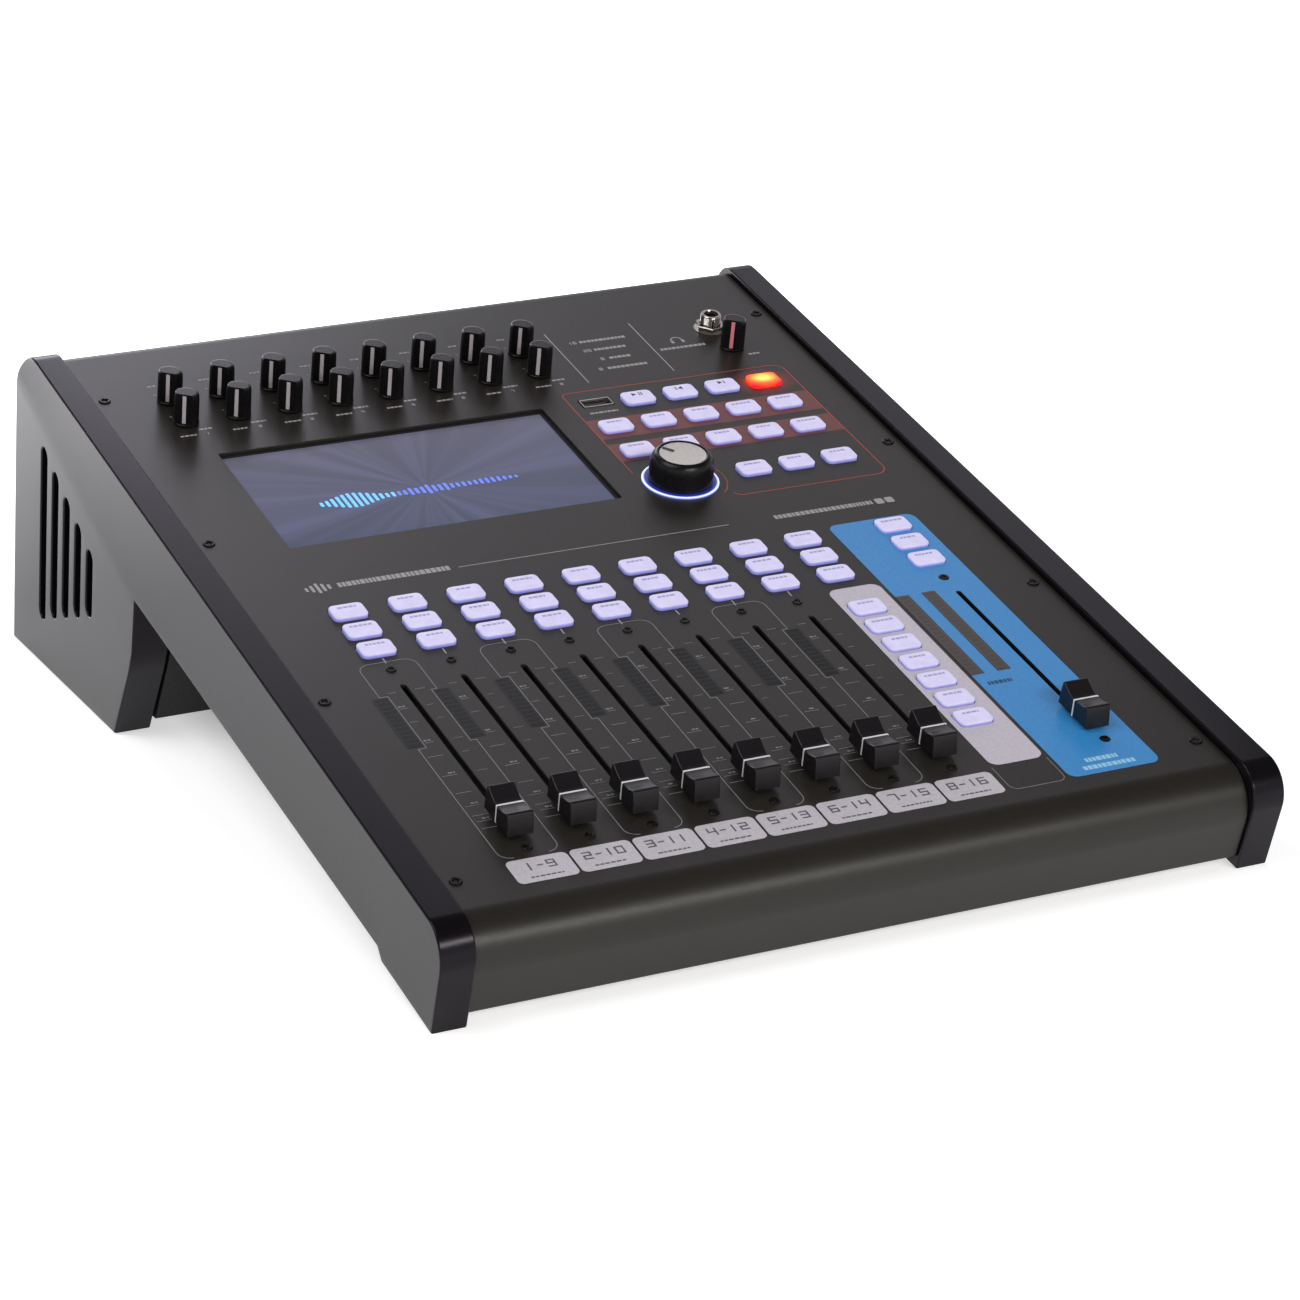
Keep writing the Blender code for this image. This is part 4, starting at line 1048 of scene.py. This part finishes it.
def display():
    x0, x1, s0, s1 = SCREEN
    pane = rectangle(x0 - GLASS_MARGIN, x1 + GLASS_MARGIN, s0 - GLASS_MARGIN, s1 + GLASS_MARGIN)
    piece("display_pane", slab([pane], GLASS_BOTTOM, GLASS_TOP), "screen",
          replaces=["display_glass"])
    window = rounded(x0 + 0.001, x1 - 0.0013, s0 + 0.0004, s1 - 0.0013, 0.0006, 3)
    gasket = slab([pane, hole(window)], GLASS_TOP + 0.00002, GLASS_TOP + 0.0005)
    piece("display_gasket", gasket, "gasket")
    # a generic level graphic where a start-up picture would be
    low, high = GLASS_TOP + 0.00002, GLASS_TOP + 0.00005
    pale, deep = Shape(), Shape()
    first, pitch, width, middle, count = -0.1, 0.00267, 0.0015, 0.16, 34
    for k in range(count):
        share = k / (count - 1)
        x = first + k * pitch
        flicker = 0.75 + 0.25 * math.cos(k * 2.1)
        height = 0.0018 + 0.0105 * math.exp(-((share - 0.16) / 0.12) ** 2)
        height += 0.006 * math.exp(-((share - 0.55) / 0.16) ** 2) * flicker
        height += 0.0026 * math.exp(-((share - 0.86) / 0.1) ** 2)
        post = rounded(x, x + width, middle - height / 2, middle + height / 2, 0.0007, 3)
        (pale if share < 0.38 else deep).join(slab([post], low, high))
    piece("display_levels_left", pale, "glyph")
    piece("display_levels_right", deep, "glyph_deep")


# ---- keys

def key_cap(x, s):
    sections = [(-0.0021, 0.0), (KEY_TOP - 0.00062, 0.0), (KEY_TOP - 0.00036, 0.0001),
                (KEY_TOP - 0.00014, 0.00034), (KEY_TOP - 0.00008, 0.0006), (KEY_TOP, 0.0016)]
    return plate([key_outline((x, s))], sections)


def triangle_mark(x, s, direction):
    reach = MARK_SIZE * 0.45 * direction
    points = [(x - reach, s - MARK_SIZE / 2), (x + reach, s), (x - reach, s + MARK_SIZE / 2)]
    return points if direction > 0 else points[::-1]


MARK_SIZE = 0.0026
# each transport mark's triangle, as place and direction, and the starts of its bars
TRANSPORT_MARKS = ((-0.0014, 1, (0.0008, 0.0019)), (0.0004, -1, (-0.0018,)),
                   (-0.0004, 1, (0.0013,)))


def transport_mark(kind, x, s):
    """Play and pause, back or forward."""
    place, direction, bars = TRANSPORT_MARKS[kind]
    shape, half = slab([triangle_mark(x + place, s, direction)], *ON_KEY), MARK_SIZE / 2
    for start in bars:
        shape.join(bar(x + start, x + start + 0.0005, s - half, s + half, *ON_KEY))
    return shape


LEGENDS = {"key_record": "record_legend", "keys_transport": "transport_legend"}
WEB_REACH, WEB_N = 0.0022, (-0.003, -0.002)


def keypads():
    """Each pad's caps and legends, and the lit web under them that shows through the gaps."""
    chance = random.Random(11)
    for name, places in KEYPADS.items():
        record = name == "key_record"
        caps, marks = Shape(), Shape()
        for k, (x, s) in enumerate(places):
            caps.join(key_cap(x, s))
            if name == "keys_transport":
                marks.join(transport_mark(k, x, s + 0.0016))
                continue
            if record:
                marks.join(slab([circle((x, s + 0.0012), 0.0013, 20)], *ON_KEY))
                continue
            half = chance.uniform(0.0034, 0.0048)
            marks.join(dashes(x - half, x + half, s + 0.0021, 0.0012, chance.random(), *ON_KEY))
        piece(name + "_caps", caps, "record" if record else "key", name, replaces=[name])
        finish = LEGENDS.get(name, "legend")
        piece(name + "_legends", marks, finish, name)
        xs, ss = [x for x, _ in places], [s for _, s in places]
        reach_x, reach_s = KEY_W / 2 + WEB_REACH, KEY_L / 2 + WEB_REACH
        web = brick((min(xs) - reach_x, max(xs) + reach_x),
                    (min(ss) - reach_s, max(ss) + reach_s), WEB_N)
        piece(name + "_web", web, "record_web" if record else "web", name)


# ---- knobs

def d_outline(radius, flat):
    """A circle with one side cut flat, the flat facing -s."""
    start = math.degrees(math.asin(-flat / radius))
    return arc((0, 0), radius, start, 180 - start, 30)


def knob_shape():
    """A D-shaped grip that keeps its flat up to the top and is domed behind it."""
    flat, grip = KNOB_FLAT, d_outline(KNOB_RADIUS, KNOB_FLAT)
    levels = [(0.0009, 1.0), (0.0112, 0.985), (0.0128, 0.965), (0.0138, 0.93), (0.0145, 0.87),
              (0.015, 0.78), (KNOB_TOP - 0.00003, 0.68), (KNOB_TOP, 0.62)]
    rings, count = [], len(grip)
    for n, share in levels:
        lean = 1 - (1 - share) * 0.55
        rings += [(x * lean, -flat + (s + flat) * share, n) for x, s in grip]
    last = (len(levels) - 1) * count
    faces = [tuple(range(count))[::-1], tuple(range(last, last + count))]
    for a in range(0, last, count):
        faces += [(a + i, a + (i + 1) % count, a + count + (i + 1) % count, a + count + i)
                  for i in range(count)]
    skirt = turned([(0, 0.0005), (0.0055, 0.0005), (0.0056, 0.0007), (0.0056, 0.0011),
                    (0.0054, 0.0013), (0, 0.0013)], 32)
    shaft = turned([(0, -0.0022), (0.0029, -0.0022), (0.0029, 0.001), (0, 0.001)], 16)
    return Shape().add(rings, faces).join(skirt, shaft)


def pointer_shape():
    """The printed line down the flat of a knob."""
    half, front, back = 0.0008, -KNOB_FLAT - 0.00006, -KNOB_FLAT + 0.0004
    return slab([rectangle(-half, half, front, back)], 0.0015, KNOB_TOP - 0.0008, 1)


def knobs():
    shape = knob_shape().join(pointer_shape()).at(0, 0, 0, KNOB_TURN)
    names = [f"gain_knob_{i + 1:02d}" for i in range(len(KNOBS))]
    shared = None
    for name, (x, s) in zip(names, KNOBS):
        made = piece(name + "_cap", shape, ["knob", "grey_line"], name, (x, s, 0), [name],
                     shared)
        shared = made.data
    piece("phones_knob_cap", shape, ["knob", "pink_line"], "phones_knob", (*PHONES_KNOB, 0),
          ["phones_knob"])


def encoder():
    base, top = 0.0014, 0.0136
    body = turned([(0, top - 0.0007), (0.0103, top - 0.0007), (0.0104, top - 0.0001), (0.0106, top),
                   (0.0111, top), (0.0117, top - 0.0003), (0.0124, top - 0.0009),
                   (0.013, top - 0.0018), (0.0134, top - 0.0028), (0.0137, top - 0.0048),
                   (0.014, base + 0.002), (0.0141, base + 0.0008), (0.014, base),
                   (0.0029, base), (0.0029, -0.0019), (0, -0.0019)], 96)
    disc = turned([(0, top - 0.0008), (0.0102, top - 0.0008), (0.0102, top - 0.00055),
                   (0.0099, top - 0.0003), (0.009, top - 0.00045), (0.003, top - 0.0006),
                   (0, top - 0.00062)], 96, 1)
    mark = slab([rounded(-0.00075, 0.00075, 0.0042, 0.0097, 0.0006, 4)],
                top - 0.0008, top - 0.00022, 2)
    shape = body.join(disc, mark.at(0, 0, 0, math.radians(40)))
    piece("encoder_cap", shape, ["knob", "disc", "black"], "encoder_knob", (*ENCODER, 0),
          ["encoder_knob"])
    ring = turned([(0.012, 0.0003), (0.0167, 0.0003), (0.0167, 0.0007), (0.0165, 0.0009),
                   (0.0161, 0.001), (0.012, 0.001)], 96)
    piece("encoder_light", ring, "ring", at=(*ENCODER, 0), replaces=["encoder_ring"])


def fader_shape():
    """Saddle cap with a white index line, on its stem and carriage."""
    front = [(-0.0108, 0.0015), (-0.0105, 0.0035), (-0.0099, 0.008), (-0.0094, 0.0101),
             (-0.0091, 0.01032), (-0.0087, 0.01042), (-0.0082, 0.01038), (-0.0074, 0.01015),
             (-0.0062, 0.00973), (-0.0048, 0.00933), (-0.0032, 0.00902), (-0.0016, 0.00885)]
    rear = [(0.0, 0.0088), (0.0016, 0.00892), (0.0032, 0.00932), (0.0048, 0.01),
            (0.0062, 0.01078), (0.0074, 0.01148), (0.0082, 0.01182), (0.0087, 0.0119),
            (0.0091, 0.0118), (0.0094, 0.0115), (0.0099, 0.0088), (0.0105, 0.0035),
            (0.0108, 0.0015)]
    outline = front + rear
    cap = plate([outline[::-1]], round_edges(-0.0054, 0.0054, 0.0005), axis=TO_X)
    index = slab([rectangle(-0.00045, 0.00045, 0.0015, 0.00885)], -0.00545, 0.00545, 1, TO_X)
    stem = brick((-0.0009, 0.0009), (-0.002, 0.002), (-0.014, 0.002), 2)
    carriage = brick((-0.0036, 0.0036), (-0.008, 0.008), (-0.0225, -0.0135), 3)
    return cap.join(index, stem, carriage)


def faders():
    shape = fader_shape()
    shared = None
    names = [f"fader_{i + 1}" for i in range(CHANNELS)] + ["fader_master"]
    for name, x in zip(names, FADER_XS):
        made = piece(name + "_cap", shape, ["fader", "white_line", "zinc", "black"], name,
                     (x, FADER_REST, 0), [name], shared)
        shared = made.data


# ---- sockets

def usb():
    w, length = USB_HALF, USB_LENGTH
    wall = 0.0006
    mouth = rounded(-w + wall, w - wall, -length + wall, length - wall, 0.0004, 4)
    shell = plate([rounded(-w, w, -length, length, 0.0007, 4), hole(mouth)],
                  [(-0.013, 0), (0.0001, 0), (0.0003, 0.0001)])
    shell.join(brick((-w + 0.0003, w - 0.0003), (-length + 0.0003, length - 0.0003),
                     (-0.014, -0.0126)))
    tongue = brick((-0.0055, 0.0055), (-0.0002, 0.0016), (-0.0127, -0.0012), 1)
    shape = shell.join(tongue)
    for k in range(4):
        x = -0.0036 + k * 0.0024
        shape.join(brick((x - 0.0005, x + 0.0005), (-0.00032, -0.0001), (-0.012, -0.0018), 2))
    piece("usb_port", shape, ["zinc", "black", "gold"], at=(*USB, 0), replaces=["usb_socket"])


def phones_jack():
    profile = [(0.0032, -0.012), (0.0032, 0.0072), (0.0034, 0.0075), (0.0043, 0.0075),
               (0.0046, 0.0072)]
    n = 0.007
    while n > 0.0032:
        profile += [(0.0047, n), (0.0044, n - 0.00028)]
        n -= 0.00056
    profile += [(0.0046, 0.002), (0.0046, -0.0022), (0.0062, -0.0022), (0.0062, -0.012)]
    ferrule = turned(profile, 48)
    nut = plate([circle((0, 0), 0.0068, 6), hole(circle((0, 0), 0.0047, 36))],
                [(0.0003, 0), (0.0024, 0), (0.0028, 0.0003)])
    washer = turned([(0.005, 0.00004), (0.0074, 0.00004), (0.0074, 0.0003), (0.005, 0.0003)], 36)
    floor = turned([(0, -0.024), (0.006, -0.024), (0.006, -0.0121), (0.0031, -0.0121),
                    (0, -0.0121)], 32, 1)
    sleeve = turned([(0.0024, -0.012), (0.0024, 0.0066), (0.0031, 0.0066), (0.0031, -0.012)],
                    32, 1)
    piece("phones_socket", ferrule.join(nut.at(0, 0, 0, 0.26), washer, floor, sleeve),
          ["chrome", "black"], at=(*PHONES_JACK, 0), replaces=["phones_jack"])


# ---- rear connectors

CONNECTOR_ROWS = ((-0.034, 8, False), (-0.064, 8, False), (-0.098, 6, True))
CONNECTOR_FIRST, CONNECTOR_PITCH = -0.14, 0.03
TRS_XS, SMALL_ROW = (0.034, 0.054), -0.098
NETWORK_X = 0.076
TO_REAR = Matrix.Translation((0, REAR_FACE, 0)) @ Matrix(
    ((-1, 0, 0, 0), (0, 0, 1, 0), (0, 1, 0, 0), (0, 0, 0, 1)))
REAR_SCREW_XS, REAR_SCREW_NS = (-0.156, -0.02, 0.112, 0.156), (-0.0185, -0.132)
MAINS_X, MAINS_PINS = 0.128, ((-0.0068, -0.1108), (0.0068, -0.1108), (0.0, -0.108))


def three_pin(male):
    """A round chassis connector seen from outside, with its face at height 0."""
    shape = plate([circle((0, 0), 0.0118, 40), hole(circle((0, 0), 0.0093, 40))],
                  [(-0.015, 0), (0.0002, 0), (0.0006, 0.0004)], 0)
    places = [(-0.0036, 0.0014), (0.0036, 0.0014), (0.0, -0.0034)]
    if male:
        shape.join(slab([circle((0, 0), 0.0092, 32)], -0.015, -0.011, 0))
        for x, y in places:
            pin = turned([(0, -0.011), (0.0012, -0.011), (0.0012, -0.0022), (0.0008, -0.0014),
                          (0, -0.0012)], 14, 1)
            shape.join(pin.at(x, y))
        return shape
    face = plate([circle((0, 0), 0.0082, 36)] + [hole(circle(p, 0.0013, 12)) for p in places],
                 [(-0.014, 0), (-0.0006, 0), (-0.0002, 0.0003)], 0)
    shape.join(face)
    shape.join(slab([rounded(-0.0026, 0.0026, 0.007, 0.01, 0.0006, 3)], -0.006, 0.0005, 1))
    return shape


def jack_socket():
    nut = turned([(0.0032, -0.012), (0.0032, 0.0004), (0.0036, 0.0006), (0.005, 0.0006),
                  (0.0056, 0.0002), (0.0056, -0.012)], 32, 1)
    return nut.join(turned([(0, -0.0125), (0.0056, -0.0125), (0.0056, -0.0119), (0, -0.0119)], 24))


def network_socket():
    outer = rectangle(-0.008, 0.008, -0.007, 0.007)
    mouth = [(-0.0059, -0.0048), (0.0059, -0.0048), (0.0059, 0.003), (0.003, 0.003),
             (0.003, 0.0046), (-0.003, 0.0046), (-0.003, 0.003), (-0.0059, 0.003)]
    port = plate([outer, hole(mouth)], [(-0.013, 0), (0.0004, 0), (0.0006, 0.0002)], 1)
    port.join(slab([outer], -0.015, -0.0129))
    for k in range(8):
        x = -0.0036 + k * 0.00102
        port.join(brick((x - 0.0002, x + 0.0002), (-0.0046, -0.003), (-0.0128, -0.002), 2))
    return port


def rear_sockets():
    """The rear connectors with their numbers and the rear panel's screws, as seen from behind."""
    shape, marks, heads = Shape(), Shape(), Shape()
    for n, count, male in CONNECTOR_ROWS:
        for i in range(count):
            x = -(CONNECTOR_FIRST + i * CONNECTOR_PITCH)
            shape.join(three_pin(male).at(x, n))
            label = i + 1 + (8 if n == CONNECTOR_ROWS[1][0] else 0)
            marks.join(number(str(label), (x, n - 0.0142), 0.0011, 0.0018, 0.0004))
    for x in TRS_XS:
        shape.join(jack_socket().at(-x, SMALL_ROW))
    shape.join(network_socket().at(-NETWORK_X, SMALL_ROW))
    piece("rear_connectors", shape.moved(TO_REAR), ["black", "zinc", "gold"],
          replaces=["input_board"])
    marks.join(dashes(-0.059, -0.029, SMALL_ROW + 0.0135, 0.0013, 301))
    marks.join(dashes(-0.083, -0.069, SMALL_ROW + 0.0115, 0.0013, 302))
    piece("rear_numbers", marks.moved(TO_REAR), "ink")
    for x in REAR_SCREW_XS:
        for n in REAR_SCREW_NS:
            heads.join(screw_shape(*LARGE_SCREW).at(-x, n))
    piece("rear_screws", heads.moved(TO_REAR), "screw")


def mains():
    carried("power_inlet", "black")
    carried("power_rocker", "black")
    pins = Shape()
    for x, n in MAINS_PINS:
        pins.join(brick((MAINS_X + x - 0.001, MAINS_X + x + 0.001), (0.2995, 0.315),
                        (n - 0.0021, n + 0.0021)))
    piece("mains_pins", pins, "zinc")


# ---- build

cheeks()
piece("panel_skin", top_panel(), "panel", replaces=["top_panel"])
screws()
channel_print()
tags()
meters()
plates()
control_print()
menu_print()
display()
keypads()
knobs()
encoder()
faders()
usb()
phones_jack()
rear_sockets()
mains()
for node, key, slot in (("base_tray", "tray", "black_steel"),
                        ("rear_panel", "rear", "charcoal_powder_coat"),
                        ("display_module", "aluminium", "sheet_aluminium"),
                        ("fader_bank", "aluminium", "sheet_aluminium"),
                        ("power_supply", "aluminium", "sheet_aluminium"),
                        ("control_board", "board", "circuit_board"),
                        ("main_board", "board", "circuit_board"),
                        ("front_foot_strip", "rubber", "rubber"),
                        ("rear_foot_strip", "rubber", "rubber")):
    carried(node, key)

# ---- camera, floor and light

scene = bpy.context.scene
camera = bpy.data.objects.new("camera", bpy.data.cameras.new("camera"))
scene.collection.objects.link(camera)
camera.data.lens = 116.2
camera.data.sensor_width = 36
across = Vector((0.90048, -0.43481, -0.00725))
forward = Vector((0.40734, 0.84912, -0.33614))
upward = Vector((0.15233, 0.29973, 0.94173))
turn = Matrix((across, upward, -forward)).transposed()
camera.matrix_world = Matrix.Translation((-0.6947, -1.4966, 0.6309)) @ turn.to_4x4()
camera.data.clip_start, camera.data.clip_end = 0.05, 60
scene.camera = camera

floor_mesh = bpy.data.meshes.new("floor")
floor_mesh.from_pydata([(x, y, 0) for x, y in rectangle(-9, 9, -9, 9)], [], [(0, 1, 2, 3)])
floor_paint = Paint("studio_floor", Roughness=0.9, Emission_Color=(1, 1, 1))
floor_paint.mottle([0.86, 0.86, 0.86], 0.01, 3)
# painted light and shade: the floor glows all round the desk and not underneath it, which paints a
# shade under the desk
PAINTED_SHADE_FOOTPRINT, NEAR_GLOW, GLOW_EDGE = (("X", 0.1), ("Y", 0.16)), 0.58, 0.05
FAR_GLOW, FAR_START, FAR_END = 1.6, 0.3, 0.8
sides = []
for axis, half in PAINTED_SHADE_FOOTPRINT:
    size = floor_paint.math("ABSOLUTE", floor_paint.coordinate(axis))
    sides.append(floor_paint.span(size, 0.0, 1.0, half, half + 1.0))
near_glow = floor_paint.span(floor_paint.math("MAXIMUM", *sides), 0.0, NEAR_GLOW, 0.0, GLOW_EDGE)
# painted light: the floor well behind the desk glows brighter, standing in for a lit backdrop
painted_backdrop_glow = floor_paint.span(floor_paint.along("Y", FAR_START, FAR_END), 0.0, FAR_GLOW, 0.0, 1.0)
floor_paint.link(floor_paint.math("ADD", near_glow, painted_backdrop_glow),
                 floor_paint.shader.inputs["Emission Strength"])
floor_mesh.materials.append(floor_paint.material)
floor = bpy.data.objects.new("floor", floor_mesh)
floor.location.z = -0.0002
scene.collection.objects.link(floor)

# place, target, size, power and colour of each lamp
for name, place, target, size, power, colour in (
        ("rear_softbox", (0.28, 2.1, 1.15), (0, 0.1, 0.1), (1.0, 0.8), 9.5, (0.9, 0.88, 1.0)),
        ("rear_fill", (0.9, 2.3, 1.9), (0, 0.1, 0.1), (2.4, 1.5), 8.5, (0.94, 0.92, 1.0)),
        ("low_left_softbox", (-1.0, 2.3, 0.38), (-0.1, 0.1, 0.08), (1.0, 0.6), 12,
         (1.0, 0.95, 1.0)),
        ("left_softbox", (-1.35, -0.2, 2.1), (0, 0, 0.05), (1.6, 1.4), 26, (1, 1, 1)),
        ("front_softbox", (0.5, -2.6, 1.35), (0, 0, 0.05), (1.6, 0.5), 38, (1.0, 0.98, 0.94))):
    lamp = bpy.data.objects.new(name, bpy.data.lights.new(name, "AREA"))
    lamp.data.shape = "RECTANGLE"
    lamp.data.size, lamp.data.size_y = size
    lamp.data.energy = power
    lamp.data.color = colour
    lamp.location = place
    lamp.rotation_mode = "QUATERNION"
    lamp.rotation_quaternion = (Vector(target) - Vector(place)).to_track_quat("-Z", "Y")
    scene.collection.objects.link(lamp)

world = bpy.data.worlds.new("studio")
scene.world = world
world.use_nodes = True
sky = world.node_tree
background = sky.nodes["Background"]
where = sky.nodes.new("ShaderNodeTexCoord")
parts = sky.nodes.new("ShaderNodeSeparateXYZ")
fade = sky.nodes.new("ShaderNodeValToRGB")
sky.links.new(where.outputs["Generated"], parts.inputs["Vector"])
sky.links.new(parts.outputs["Z"], fade.inputs["Fac"])
sky.links.new(fade.outputs["Color"], background.inputs["Color"])
level, above = fade.color_ramp.elements
level.position, level.color = 0.05, (1, 1, 1, 1)
above.position, above.color = 0.55, (0.1, 0.095, 0.1, 1)
background.inputs["Strength"].default_value = 1.0
scene.view_settings.view_transform = "Standard"
